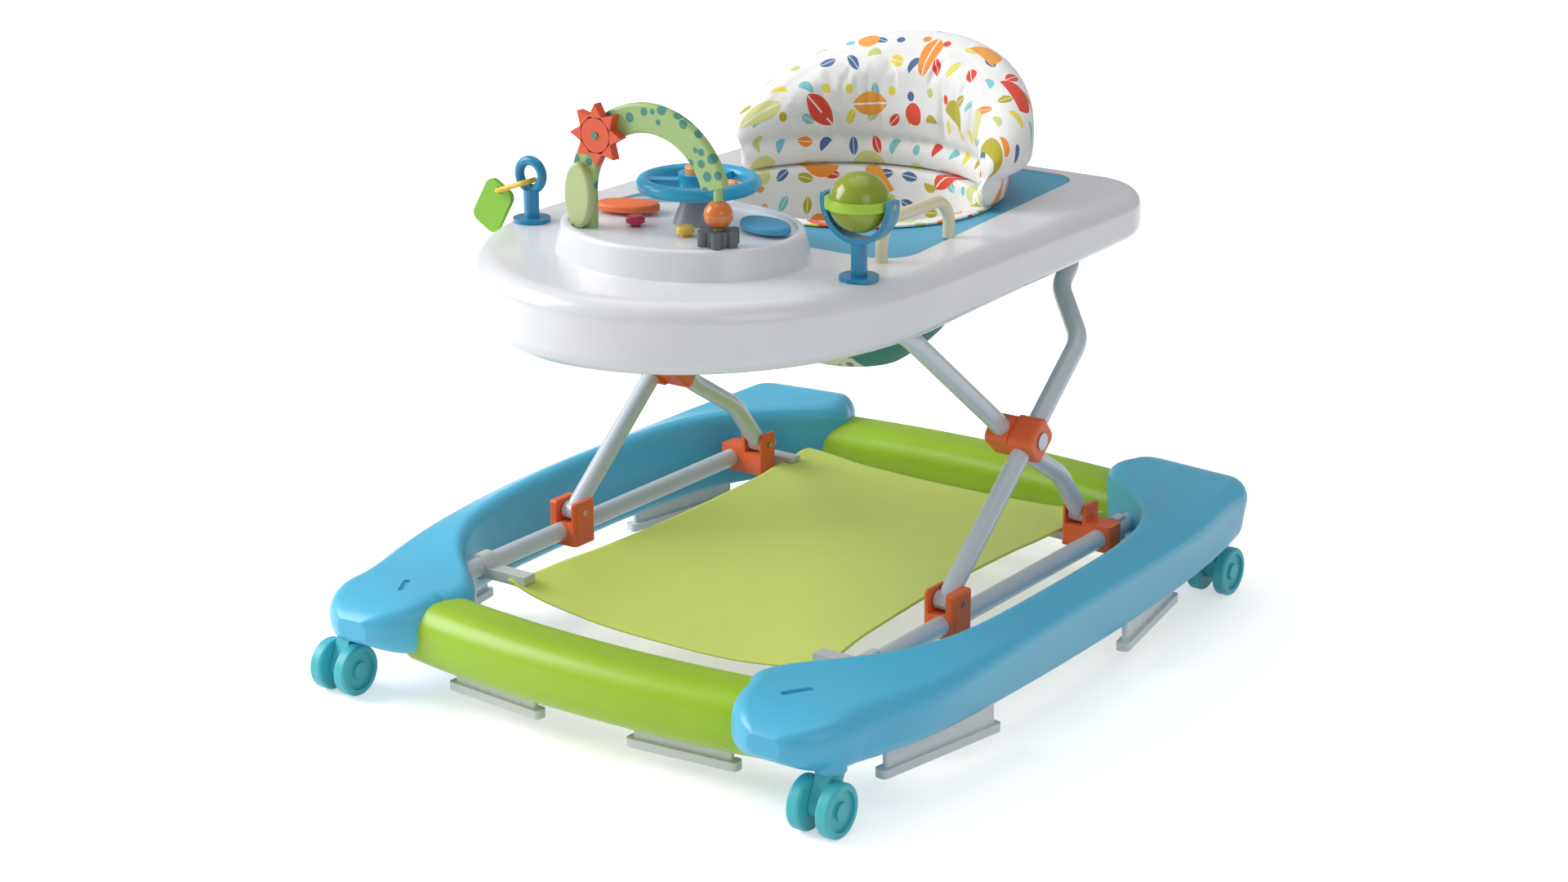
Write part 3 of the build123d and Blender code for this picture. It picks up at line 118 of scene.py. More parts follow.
class WalkerSizes(PropertyGroup):
    """The sizes of the walker's cloth, padding and trim."""

    hole_half_width: length("Hole half width", "Half width of the seat hole", 122)
    hole_half_length: length("Hole half length", "Half length of the seat hole", 112)
    hole_centre: length("Hole centre", "How far the seat hole's centre lies behind the origin", 88)
    back_thickness: length("Back thickness", "Thickness of the padded back at the rear", 56)
    back_foot: length("Back foot", "Thickness of the sewn foot under the back", 26)
    back_bottom: length("Back bottom", "Height of the back's lower edge", 420)
    back_seam: length("Back seam", "Height of the seam across the back", 446)
    back_wing: length("Wing height", "Height of the back's top at its wings", 450)
    back_top: length("Back top", "Height of the back's top at the rear", 553)
    pad_slack: length("Pad slack", "How much smaller the cover is before it fills", 1.5)
    pad_swell: length("Pad swell", "The furthest that filling may push the cover", 11)
    sling_hem: length("Sling hem", "Width of the hem that lies on the deck", 15)
    sling_top: length("Sling top", "Height of the hem on the deck", 419.3)
    sling_bottom: length("Sling bottom", "Height of the bucket's lowest cloth", 265.5)
    crotch_half: length("Crotch strip", "Half width of the printed strip between the legs", 38)
    side_panel_top: length("Side panel top", "Height of the upper seam of the plain side panels", 350)
    binding: length("Binding", "Radius of the binding round the leg holes", 4.5)
    mat_half_width: length("Mat half width", "Half width of the mat at its clips", 178)
    mat_waist: length("Mat waist", "Half width of the mat at its middle", 160)
    mat_front: length("Mat front", "How far the mat reaches before the origin", 214)
    mat_rear: length("Mat rear", "How far the mat reaches behind the origin", 275)
    mat_bow: length("Mat bow", "How far the front edge draws back in the middle", 8)
    mat_edge: length("Mat edge height", "Height of the mat's side edges", 85.5)
    mat_sag: length("Mat sag", "How far the mat hangs below its edges at the front", 24)
    mat_rear_sag: length("Mat rear sag", "How far the mat hangs at the rear", 9)
    motif: length("Motif", "Cell of the large printed motifs", 66)
    thread: length("Thread", "Spacing of the woven threads as drawn", 1.5)


def add(tree, kind, wires=None, **settings):
    """A node with its settings, and a value or a link for each named or numbered input."""
    made = tree.nodes.new(kind)
    for name, value in settings.items():
        setattr(made, name, value)
    for key, value in (wires or {}).items():
        if isinstance(value, bpy.types.NodeSocket):
            tree.links.new(value, made.inputs[key])
        else:
            made.inputs[key].default_value = value
    return made


def new_material(name):
    """An empty node material, its tree and its shader."""
    made = bpy.data.materials.new(name)
    made.use_nodes = True
    tree = made.node_tree
    tree.nodes.clear()
    shader = add(tree, "ShaderNodeBsdfPrincipled")
    add(tree, "ShaderNodeOutputMaterial", {"Surface": shader.outputs[0]})
    return made, tree, shader


def opaque(rgb):
    """A colour with full alpha."""
    return (*rgb, 1.0)


def shade(rgb, share):
    """A colour with full alpha, made darker or lighter by a share."""
    return opaque(min(1.0, c * share) for c in rgb)


PLASTIC_IOR = 1.49
SOFT_PVC_IOR = 1.45
WALL_DRIFT = 45 * MM
WALL_TONES = (0.93, 1.04)
WALL_SHEEN = (0.85, 1.15)


def moulded(name, rgb, roughness, grain, depth, coat=0.0):
    """Moulded plastic: a faint skin grain, drawn coarser than the real one so that it shows, and a tone that
    drifts a little as the wall's thickness does."""
    made, tree, shader = new_material(name)
    place = add(tree, "ShaderNodeTexCoord").outputs["Object"]
    skin = add(tree, "ShaderNodeTexNoise", {"Vector": place, "Scale": 1 / grain, "Detail": 2.0})
    drift = add(tree, "ShaderNodeTexNoise", {"Vector": place, "Scale": 1 / WALL_DRIFT, "Detail": 3.0})
    darker, lighter = (shade(rgb, share) for share in WALL_TONES)
    tones = {0: drift.outputs["Fac"], 6: darker, 7: lighter}
    tone = add(tree, "ShaderNodeMix", tones, data_type="RGBA")
    glossy, dull = (roughness * share for share in WALL_SHEEN)
    spread = {"Value": drift.outputs["Fac"], "To Min": glossy, "To Max": dull}
    sheen = add(tree, "ShaderNodeMapRange", spread)
    relief = add(
        tree, "ShaderNodeBump", {"Height": skin.outputs["Fac"], "Strength": 0.35, "Distance": depth}
    )
    tree.links.new(tone.outputs[2], shader.inputs["Base Color"])
    tree.links.new(sheen.outputs[0], shader.inputs["Roughness"])
    tree.links.new(relief.outputs[0], shader.inputs["Normal"])
    shader.inputs["IOR"].default_value = PLASTIC_IOR
    shader.inputs["Coat Weight"].default_value = coat
    return made


FLAKE = 1.1 * MM
FLAKE_DEPTH = 0.1 * MM


def coated_steel(name, rgb, metallic, roughness):
    """Coated or bare steel: flakes, drawn coarser than real ones so that they show, catch the light and blur
    the highlight along a tube."""
    made, tree, shader = new_material(name)
    place = add(tree, "ShaderNodeTexCoord").outputs["Object"]
    flakes = add(tree, "ShaderNodeTexNoise", {"Vector": place, "Scale": 1 / FLAKE, "Detail": 4.0})
    tones = {0: flakes.outputs["Fac"], 6: shade(rgb, 0.88), 7: opaque(rgb)}
    tone = add(tree, "ShaderNodeMix", tones, data_type="RGBA")
    relief = add(
        tree, "ShaderNodeBump", {"Height": flakes.outputs["Fac"], "Strength": 0.25, "Distance": FLAKE_DEPTH}
    )
    tree.links.new(tone.outputs[2], shader.inputs["Base Color"])
    tree.links.new(relief.outputs[0], shader.inputs["Normal"])
    shader.inputs["Metallic"].default_value = metallic
    shader.inputs["Roughness"].default_value = roughness
    return made


WAVE_RATE = 20
CLOUD = 60 * MM
CANVAS_DEPTH = 0.35 * MM
COTTON_DEPTH = 0.25 * MM


def weave(tree, place, thread):
    """Height of a plain weave: warp and weft waves, each on top where the other dips. The threads are drawn
    coarser than real ones so that they show. A wave texture turns by WAVE_RATE radians in each unit of its
    scale."""
    scale = 2 * pi / (WAVE_RATE * thread)
    warp = add(tree, "ShaderNodeTexWave", {"Vector": place, "Scale": scale}, bands_direction="X")
    weft = add(tree, "ShaderNodeTexWave", {"Vector": place, "Scale": scale}, bands_direction="Y")
    return add(
        tree, "ShaderNodeMath", {0: warp.outputs["Fac"], 1: weft.outputs["Fac"]}, operation="MAXIMUM"
    ).outputs[0]


def cloth_shader(tree, shader, tone, height, depth):
    """Finish a cloth: its colour, the relief of its threads, and the soft edge glow of fibres."""
    relief = add(tree, "ShaderNodeBump", {"Height": height, "Strength": 0.5, "Distance": depth})
    tree.links.new(tone, shader.inputs["Base Color"])
    tree.links.new(relief.outputs[0], shader.inputs["Normal"])
    shader.inputs["Roughness"].default_value = 0.85
    shader.inputs["Sheen Weight"].default_value = 0.25
    shader.inputs["Sheen Roughness"].default_value = 0.5


def woven(name, rgb, thread):
    """Plain woven cloth: a fine thread check painted as light and shade, paler on the thread crowns and
    darker in the dips, with a random cloud of tone.
    """
    made, tree, shader = new_material(name)
    place = add(tree, "ShaderNodeUVMap", uv_map="cloth").outputs[0]
    height = weave(tree, place, thread)
    cloud = add(tree, "ShaderNodeTexNoise", {"Vector": place, "Scale": 1 / CLOUD, "Detail": 3.0})
    # Painted light and shade: the colour follows the thread height, paler on crowns and darker in dips,
    # varied by a random cloud
    painted_crowns_and_cloud = add(tree, "ShaderNodeMath", {0: height, 1: cloud.outputs["Fac"]}, operation="MULTIPLY")
    tones = {0: painted_crowns_and_cloud.outputs[0], 6: shade(rgb, 0.92), 7: opaque(rgb)}
    tone = add(tree, "ShaderNodeMix", tones, data_type="RGBA")
    cloth_shader(tree, shader, tone.outputs[2], height, CANVAS_DEPTH)
    return made


LARGE_INKS = ("#e3402f", "#f0902f", "#c9d27e", "#e5482f", "#b9ac25", "#d7d98c", "#f0a03a")
SMALL_INKS = ("#4b6d9a", "#7cc7c9", "#e3402f", "#e8d94a", "#b9ac25", "#f0902f", "#c5d07c")
SMALL_SHARE = 0.42
LARGE_SHIFT = (0.12, 0.29, 0)
SMALL_SHIFT = (0.31, 0.57, 0)
# All in shares of a motif's cell
STRAY = (-0.26, -0.26, 0)
MIDDLE = (-0.37, -0.37, 0)
BLADE_RADIUS = 0.42
BLADE_BOW = 0.24
RIB_HALF = 0.014
DOT_RADIUS = 0.17
MOON_RADIUS = 0.3
# The draw that gives a leaf ends here, and the draw that gives a dot starts here
LEAF_UNTIL = 0.42
DOT_FROM = 0.7


def motif_layer(tree, place, cell, shift, inks):
    """One scatter of leaves, half moons and dots: each cell of a grid holds one motif, moved, turned and
    inked by random numbers drawn from its cell. Returns where it prints and its ink."""
    scaled = add(
        tree,
        "ShaderNodeVectorMath",
        {0: place, 1: (1 / cell,) * 3, 2: shift},
        operation="MULTIPLY_ADD",
    )
    block = add(tree, "ShaderNodeVectorMath", {0: scaled.outputs[0]}, operation="FLOOR")
    draw = add(tree, "ShaderNodeTexWhiteNoise", {"Vector": block.outputs[0]}, noise_dimensions="2D")
    chance = add(tree, "ShaderNodeSeparateColor", {0: draw.outputs["Color"]})
    inside = add(tree, "ShaderNodeVectorMath", {0: scaled.outputs[0]}, operation="FRACTION")
    moved = add(
        tree,
        "ShaderNodeVectorMath",
        {0: draw.outputs["Color"], 1: STRAY, 2: MIDDLE},
        operation="MULTIPLY_ADD",
    )
    local = add(tree, "ShaderNodeVectorMath", {0: inside.outputs[0], 1: moved.outputs[0]}, operation="ADD")
    angle = add(tree, "ShaderNodeMath", {0: draw.outputs["Value"], 1: 2 * pi}, operation="MULTIPLY")
    turned = add(
        tree,
        "ShaderNodeVectorRotate",
        {"Vector": local.outputs[0], "Angle": angle.outputs[0]},
        rotation_type="Z_AXIS",
    )
    flat = add(tree, "ShaderNodeVectorMath", {0: turned.outputs[0], 1: (1, 1, 0)}, operation="MULTIPLY")
    sides = add(tree, "ShaderNodeSeparateXYZ", {0: flat.outputs[0]})
    away = add(tree, "ShaderNodeVectorMath", {0: flat.outputs[0]}, operation="LENGTH")
    across = add(tree, "ShaderNodeMath", {0: sides.outputs[0]}, operation="ABSOLUTE")
    bowed = add(tree, "ShaderNodeMath", {0: across.outputs[0], 1: BLADE_BOW}, operation="ADD")
    bow = add(tree, "ShaderNodeCombineXYZ", {0: bowed.outputs[0], 1: sides.outputs[1]})
    blade = add(tree, "ShaderNodeVectorMath", {0: bow.outputs[0]}, operation="LENGTH")
    leaf_at = {0: blade.outputs["Value"], 1: BLADE_RADIUS}
    leaf_edge = add(tree, "ShaderNodeMath", leaf_at, operation="SUBTRACT")
    rib = add(tree, "ShaderNodeMath", {0: RIB_HALF, 1: across.outputs[0]}, operation="SUBTRACT")
    leaf = add(tree, "ShaderNodeMath", {0: leaf_edge.outputs[0], 1: rib.outputs[0]}, operation="MAXIMUM")
    dot = add(tree, "ShaderNodeMath", {0: away.outputs["Value"], 1: DOT_RADIUS}, operation="SUBTRACT")
    disc = add(tree, "ShaderNodeMath", {0: away.outputs["Value"], 1: MOON_RADIUS}, operation="SUBTRACT")
    moon = add(tree, "ShaderNodeMath", {0: disc.outputs[0], 1: sides.outputs[1]}, operation="MAXIMUM")
    is_leaf = add(tree, "ShaderNodeMath", {0: chance.outputs[0], 1: LEAF_UNTIL}, operation="LESS_THAN")
    is_dot = add(tree, "ShaderNodeMath", {0: chance.outputs[0], 1: DOT_FROM}, operation="GREATER_THAN")
    first = add(tree, "ShaderNodeMix", {0: is_leaf.outputs[0], 2: moon.outputs[0], 3: leaf.outputs[0]})
    shape = add(tree, "ShaderNodeMix", {0: is_dot.outputs[0], 2: first.outputs[0], 3: dot.outputs[0]})
    prints = add(tree, "ShaderNodeMath", {0: shape.outputs[0], 1: 0.0}, operation="LESS_THAN")
    ramp = add(tree, "ShaderNodeValToRGB", {0: chance.outputs[1]})
    ramp.color_ramp.interpolation = "CONSTANT"
    stops = ramp.color_ramp.elements
    for index, ink in enumerate(inks):
        stop = stops[index] if index < 2 else stops.new(index / len(inks))
        stop.position = index / len(inks)
        stop.color = opaque(linear(ink))
    return prints.outputs[0], ramp.outputs[0]


def printed_cotton(name, ground, cell, thread, panel=None):
    """Printed cotton twill: bright inks that sit in the weave, on a white ground with a soft thread check
    painted as shade in the dips between threads.
    A panel is plain cloth beside a half width and below a height."""
    made, tree, shader = new_material(name)
    place = add(tree, "ShaderNodeUVMap", uv_map="cloth").outputs[0]
    height = weave(tree, place, thread)
    # Painted shade: the white ground darkens where the weave dips between threads
    tones = {0: height, 6: shade(ground, 0.94), 7: opaque(ground)}
    tone = add(tree, "ShaderNodeMix", tones, data_type="RGBA").outputs[2]
    for size, shift, inks in (
        (cell * SMALL_SHARE, SMALL_SHIFT, SMALL_INKS),
        (cell, LARGE_SHIFT, LARGE_INKS),
    ):
        prints, ink = motif_layer(tree, place, size, shift, inks)
        tone = add(tree, "ShaderNodeMix", {0: prints, 6: tone, 7: ink}, data_type="RGBA").outputs[2]
    if panel:
        half, top, plain = panel
        where = add(tree, "ShaderNodeSeparateXYZ", {0: add(tree, "ShaderNodeTexCoord").outputs["Object"]})
        aside = add(tree, "ShaderNodeMath", {0: where.outputs[0]}, operation="ABSOLUTE")
        beside = add(tree, "ShaderNodeMath", {0: aside.outputs[0], 1: half}, operation="GREATER_THAN")
        below = add(tree, "ShaderNodeMath", {0: where.outputs[2], 1: top}, operation="LESS_THAN")
        both = {0: beside.outputs[0], 1: below.outputs[0]}
        sewn = add(tree, "ShaderNodeMath", both, operation="MULTIPLY")
        # Painted shade: the plain dyed panel darkens where the weave dips between threads
        tones = {0: height, 6: shade(plain, 0.84), 7: opaque(plain)}
        dyed_and_shaded = add(tree, "ShaderNodeMix", tones, data_type="RGBA")
        tone = add(
            tree, "ShaderNodeMix", {0: sewn.outputs[0], 6: tone, 7: dyed_and_shaded.outputs[2]}, data_type="RGBA"
        ).outputs[2]
    cloth_shader(tree, shader, tone, height, COTTON_DEPTH)
    return made


MILKY_CLOUD = 8 * MM


def frosted(name, rgb):
    """Frosted soft plastic: light goes a little way in, so edges glow and the piece looks milky."""
    made, tree, shader = new_material(name)
    place = add(tree, "ShaderNodeTexCoord").outputs["Object"]
    cloud = add(tree, "ShaderNodeTexNoise", {"Vector": place, "Scale": 1 / MILKY_CLOUD, "Detail": 2.0})
    tones = {0: cloud.outputs["Fac"], 6: shade(rgb, 0.9), 7: opaque(rgb)}
    tone = add(tree, "ShaderNodeMix", tones, data_type="RGBA")
    tree.links.new(tone.outputs[2], shader.inputs["Base Color"])
    shader.inputs["Roughness"].default_value = 0.3
    shader.inputs["Transmission Weight"].default_value = 0.12
    shader.inputs["IOR"].default_value = SOFT_PVC_IOR
    return made


SPOT_CELL = 13 * MM
SPOT_RADIUS = 0.36
BAND_GRAIN = 0.9 * MM
BAND_DEPTH = 0.1 * MM


def spot_printed(name, rgb, ink):
    """Printed plastic band: dark teal spots printed on sage green, one in each random cell, under the same
    moulded skin."""
    made, tree, shader = new_material(name)
    place = add(tree, "ShaderNodeTexCoord").outputs["Object"]
    cells = add(tree, "ShaderNodeTexVoronoi", {"Vector": place, "Scale": 1 / SPOT_CELL})
    near = {0: cells.outputs["Distance"], 1: SPOT_RADIUS}
    prints = add(tree, "ShaderNodeMath", near, operation="LESS_THAN")
    tones = {0: prints.outputs[0], 6: opaque(rgb), 7: opaque(ink)}
    tone = add(tree, "ShaderNodeMix", tones, data_type="RGBA")
    skin = add(tree, "ShaderNodeTexNoise", {"Vector": place, "Scale": 1 / BAND_GRAIN})
    relief = add(
        tree, "ShaderNodeBump", {"Height": skin.outputs["Fac"], "Strength": 0.3, "Distance": BAND_DEPTH}
    )
    tree.links.new(tone.outputs[2], shader.inputs["Base Color"])
    tree.links.new(relief.outputs[0], shader.inputs["Normal"])
    shader.inputs["Roughness"].default_value = 0.42
    return made


WELD = 1e-6


def grid_object(name, points, uv=None, closed_u=False, closed_v=False, keep=None):
    """A mesh from a grid of points: quads between neighbours, wrapped where a side is closed, with the
    grid's flat coordinates as its cloth map. Points that meet at a pole are joined."""
    count_u, count_v = points.shape[:2]
    index = np.arange(count_u * count_v).reshape(count_u, count_v)
    if closed_u:
        index = np.vstack([index, index[:1]])
    if closed_v:
        index = np.hstack([index, index[:, :1]])
    corners = [index[:-1, :-1], index[1:, :-1], index[1:, 1:], index[:-1, 1:]]
    quads = np.stack(corners, axis=-1).reshape(-1, 4)
    if keep is not None:
        quads = quads[keep(quads)]
    mesh = bpy.data.meshes.new(name)
    mesh.from_pydata(points.reshape(-1, 3), [], quads)
    mesh.polygons.foreach_set("use_smooth", np.ones(len(mesh.polygons), bool))
    if uv is not None:
        cloth_map(mesh, uv.reshape(-1, 2))
    joined = bmesh.new()
    joined.from_mesh(mesh)
    bmesh.ops.remove_doubles(joined, verts=joined.verts, dist=WELD)
    joined.to_mesh(mesh)
    joined.free()
    made = bpy.data.objects.new(name, mesh)
    bpy.context.collection.objects.link(made)
    return made


def cloth_map(mesh, uv):
    """Give each corner of a mesh its vertex's flat cloth coordinates."""
    corners = np.empty(len(mesh.loops), np.int32)
    mesh.loops.foreach_get("vertex_index", corners)
    layer = mesh.uv_layers.get("cloth") or mesh.uv_layers.new(name="cloth")
    layer.data.foreach_set("uv", uv[corners].astype(np.float32).ravel())


def vertex_array(mesh):
    """A mesh's vertices as an array."""
    flat = np.empty(len(mesh.vertices) * 3, np.float32)
    mesh.vertices.foreach_get("co", flat)
    return flat.reshape(-1, 3).astype(float)


def unit(vectors):
    """Vectors made one long."""
    return vectors / np.maximum(np.linalg.norm(vectors, axis=-1, keepdims=True), 1e-12)


def ring_cord(name, path, radius, lift, flatten, sides=10):
    """A cord closed to a ring: a flattened circle carried along a path, square to it, with its flat axis
    turned towards lift."""
    along = unit(np.roll(path, -1, 0) - np.roll(path, 1, 0))
    side = unit(np.cross(along, lift))
    out = np.cross(side, along)
    turn = np.linspace(0, 2 * pi, sides, endpoint=False)
    ring = (
        side[:, None] * np.cos(turn)[None, :, None] * radius
        + out[:, None] * np.sin(turn)[None, :, None] * radius * flatten
    )
    run = np.concatenate([[0], np.cumsum(np.linalg.norm(np.diff(path, axis=0), axis=1))])
    uv = np.stack(np.broadcast_arrays(run[:, None], turn[None] * radius), axis=-1)
    return grid_object(name, path[:, None] + ring, uv, closed_u=True, closed_v=True)


def dress(names, material):
    """Give a finish to carried-over solids."""
    for name in names:
        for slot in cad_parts[name].material_slots:
            slot.material = material


def own_finish(piece, material, body):
    """Give a made piece its finish and the body it moves with."""
    piece.data.materials.append(material)
    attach(piece, body)


class WALKER_OT_base(Operator):
    """Finish the runners, rails, tubes, casters, clips and stopper pads"""

    bl_idname = "walker.base"
    bl_label = "Base"

    def execute(self, context):
        tint = context.scene.walker_colours
        # Blow-moulded polypropylene: broad soft highlights over a faint orange-peel skin
        runner = moulded("Polypropylene_sky_blue_blow_moulded", tint.runner, 0.34, 1.6 * MM, 0.12 * MM)
        rail = moulded("Polypropylene_lime_blow_moulded", tint.rail, 0.36, 1.6 * MM, 0.12 * MM)
        dress(["left_runner", "right_runner"], runner)
        dress(["front_rail", "rear_rail"], rail)
        # Powder-coated steel tube: silver grey with a blurred streak of light along it
        steel = coated_steel("Powder_coated_steel", tint.steel, 0.15, 0.36)
        dress(["left_side_tube", "right_side_tube"], steel)
        # Nylon casters: a duller skin than the runners
        caster = moulded("Nylon_teal_moulded", tint.caster, 0.42, 0.9 * MM, 0.1 * MM)
        ends = [f"{end}_{side}_caster" for end in ("front", "rear") for side in ("left", "right")]
        dress([f"{name}_{piece}" for name in ends for piece in ("fork", "wheels")], caster)
        dress(["mat_clips"], moulded("Polypropylene_pale_grey_moulded", tint.clip, 0.5, 0.9 * MM, 0.1 * MM))
        dress(["rail_stopper_pads", "runner_stopper_pads"], frosted("Frosted_soft_PVC", tint.stopper))
        return {"FINISHED"}


class WALKER_OT_legs(Operator):
    """Finish the folding legs, their pivot blocks, sliders, brackets and pins"""

    bl_idname = "walker.legs"
    bl_label = "Folding legs"

    def execute(self, context):
        tint = context.scene.walker_colours
        # Powder-coated steel legs: the same silver grey as the side tubes, a little glossier
        steel = coated_steel("Powder_coated_leg_steel", tint.steel, 0.15, 0.33)
        dress(["outer_leg_frame", "inner_leg_frame"], steel)
        # Glass-filled nylon: bright orange with a slightly pebbled skin
        block = moulded("Nylon_orange_moulded", tint.connector, 0.38, 1.0 * MM, 0.12 * MM)
        pairs = ("outer_pivot_block", "inner_pivot_block", "front_slider", "rear_bracket")
        dress([f"{side}_{piece}" for side in ("left", "right") for piece in pairs], block)
        # Plain steel pins: bare metal with fine turning marks
        pin = coated_steel("Turned_steel", tint.pin, 1.0, 0.3)
        dress(["leg_pivot_pins", "slider_pins", "bracket_pins"], pin)
        dress(["tray_slide_shoes"], moulded("Acetal_off_white", tint.slide, 0.4, 0.9 * MM, 0.08 * MM))
        return {"FINISHED"}


class WALKER_OT_tray(Operator):
    """Finish the tray shell, deck, slides, posts, handle and the toys that stand on it"""

    bl_idname = "walker.tray"
    bl_label = "Tray"

    def execute(self, context):
        tint = context.scene.walker_colours
        # Injection-moulded ABS: clean white with a crisp soft-box highlight along the bullnose
        dress(["tray_shell"], moulded("ABS_white_gloss", tint.tray, 0.24, 1.8 * MM, 0.06 * MM, 0.25))
        dress(["deck_panel"], moulded("ABS_sky_blue_satin", tint.deck, 0.42, 0.8 * MM, 0.1 * MM))
        slide = moulded("Acetal_white", tint.slide, 0.45, 0.9 * MM, 0.08 * MM)
        dress(["slide_channels", "rear_tube_saddles"], slide)
        dress(["ball_post", "loop_post"], moulded("ABS_deep_blue", tint.post, 0.28, 1.2 * MM, 0.06 * MM))
        dress(["ball_spinner"], moulded("Polystyrene_olive", tint.ball, 0.22, 1.2 * MM, 0.05 * MM, 0.2))
        dress(["ball_band"], moulded("ABS_lime", tint.band, 0.3, 1.2 * MM, 0.06 * MM))
        dress(["toy_link"], moulded("ABS_yellow", tint.link, 0.28, 1.2 * MM, 0.05 * MM))
        dress(["toy_tag"], moulded("ABS_leaf_green", tint.tag, 0.34, 0.9 * MM, 0.08 * MM))
        dress(["grab_handle"], moulded("ABS_cream", tint.handle, 0.3, 1.2 * MM, 0.06 * MM))
        return {"FINISHED"}


class WALKER_OT_play_tray(Operator):
    """Finish the lift-off play tray and its toys"""

    bl_idname = "walker.play_tray"
    bl_label = "Play tray"

    def execute(self, context):
        tint = context.scene.walker_colours
        dress(["play_tray_dish"], moulded("ABS_white_play_tray", tint.tray, 0.26, 1.8 * MM, 0.06 * MM, 0.2))
        dress(["steering_column"], moulded("ABS_mid_grey", tint.column, 0.4, 0.9 * MM, 0.08 * MM))
        dress(["steering_wheel"], moulded("ABS_bright_blue", tint.wheel, 0.28, 1.2 * MM, 0.06 * MM))
        dress(["horn_button"], moulded("ABS_apricot", tint.horn, 0.3, 0.9 * MM, 0.05 * MM))
        dress(["orange_pad"], moulded("Soft_PVC_orange", tint.orange_pad, 0.45, 0.8 * MM, 0.08 * MM))
        dress(["blue_pad"], moulded("Soft_PVC_blue", tint.blue_pad, 0.45, 0.8 * MM, 0.08 * MM))
        dress(["red_button"], moulded("ABS_berry_red", tint.red_button, 0.28, 0.9 * MM, 0.05 * MM))
        dress(["yellow_button"], moulded("ABS_warm_yellow", tint.yellow_button, 0.28, 0.9 * MM, 0.05 * MM))
        dress(["toy_arch"], spot_printed("ABS_sage_printed", tint.arch, tint.arch_print))
        dress(["arch_leaf"], moulded("ABS_pale_green", tint.leaf, 0.4, 0.9 * MM, 0.08 * MM))
        dress(["star_spinner"], moulded("ABS_orange_red", tint.star, 0.3, 0.9 * MM, 0.06 * MM))
        dress(["bead"], moulded("ABS_orange_bead", tint.bead, 0.24, 0.9 * MM, 0.05 * MM, 0.2))
        dress(["gear_knob"], moulded("ABS_dark_grey", tint.gear, 0.4, 0.9 * MM, 0.08 * MM))
        return {"FINISHED"}


BACK_WING_TURN = radians(5)
BACK_WING_SHARE = 0.7
BACK_CREST_POWER = 0.8
BACK_STEP = 3 * MM
BACK_SLACK_FADE = 20 * MM
# Powers of the curves that round the back: higher is blunter
BACK_WING_POWER = 10
BACK_FOOT_POWER = 14
BACK_TOP_POWER = 5


def back_edge(size, turn):
    """The back's inner edge in plan, the ellipse of the seat hole, with its outward direction."""
    wide = size.hole_half_width
    long = size.hole_half_length
    edge = np.stack([wide * np.cos(turn), size.hole_centre + long * np.sin(turn)], axis=-1)
    return edge, unit(np.stack([long * np.cos(turn), wide * np.sin(turn)], axis=-1))


def back_section(size, turn, height):
    """The back's top and its thickness at a height: the top and the bolster grow with the sine of the turn,
    and below the seam the bolster narrows to the foot along a soft step."""
    rise = np.sin(turn)
    crest = size.back_wing + (size.back_top - size.back_wing) * rise**BACK_CREST_POWER
    bolster = size.back_thickness * (BACK_WING_SHARE + (1 - BACK_WING_SHARE) * rise)
    above = 1 / (1 + np.exp(-(height - size.back_seam) / BACK_STEP))
    return crest, size.back_foot + (bolster - size.back_foot) * above


def back_surface(size, count=170, around=90):
    """The back's cover before it fills. Round each section the height goes as one minus a cosine, and the
    two faces stand off its middle by a blunt power curve. Both wings close in plan by another."""
    turn = np.linspace(BACK_WING_TURN, pi - BACK_WING_TURN, count)[:, None]
    lap = np.linspace(0, 2 * pi, around, endpoint=False)[None]
    edge, outward = back_edge(size, turn)
    crest = back_section(size, turn, size.back_bottom)[0]
    height = size.back_bottom + (crest - size.back_bottom) * (1 - np.cos(lap)) / 2
    thick = back_section(size, turn, height)[1]
    slack = size.pad_slack * np.clip((height - size.back_seam) / BACK_SLACK_FADE, 0, 1)
    closing = (1 - np.abs((turn - pi / 2) / (pi / 2 - BACK_WING_TURN)) ** BACK_WING_POWER) ** 0.5
    blunt = np.where(np.cos(lap) > 0, BACK_FOOT_POWER, BACK_TOP_POWER)
    face = np.sign(np.sin(lap)) * (1 - np.abs(np.cos(lap)) ** blunt) ** 0.5
    off = thick / 2 + (thick / 2 - slack) * face * closing
    return np.concatenate([edge + outward * off[..., None], height[..., None]], axis=-1)


PAD_PRESSURE = 4
PAD_FRAMES = 20
PAD_FREE = 25 * MM


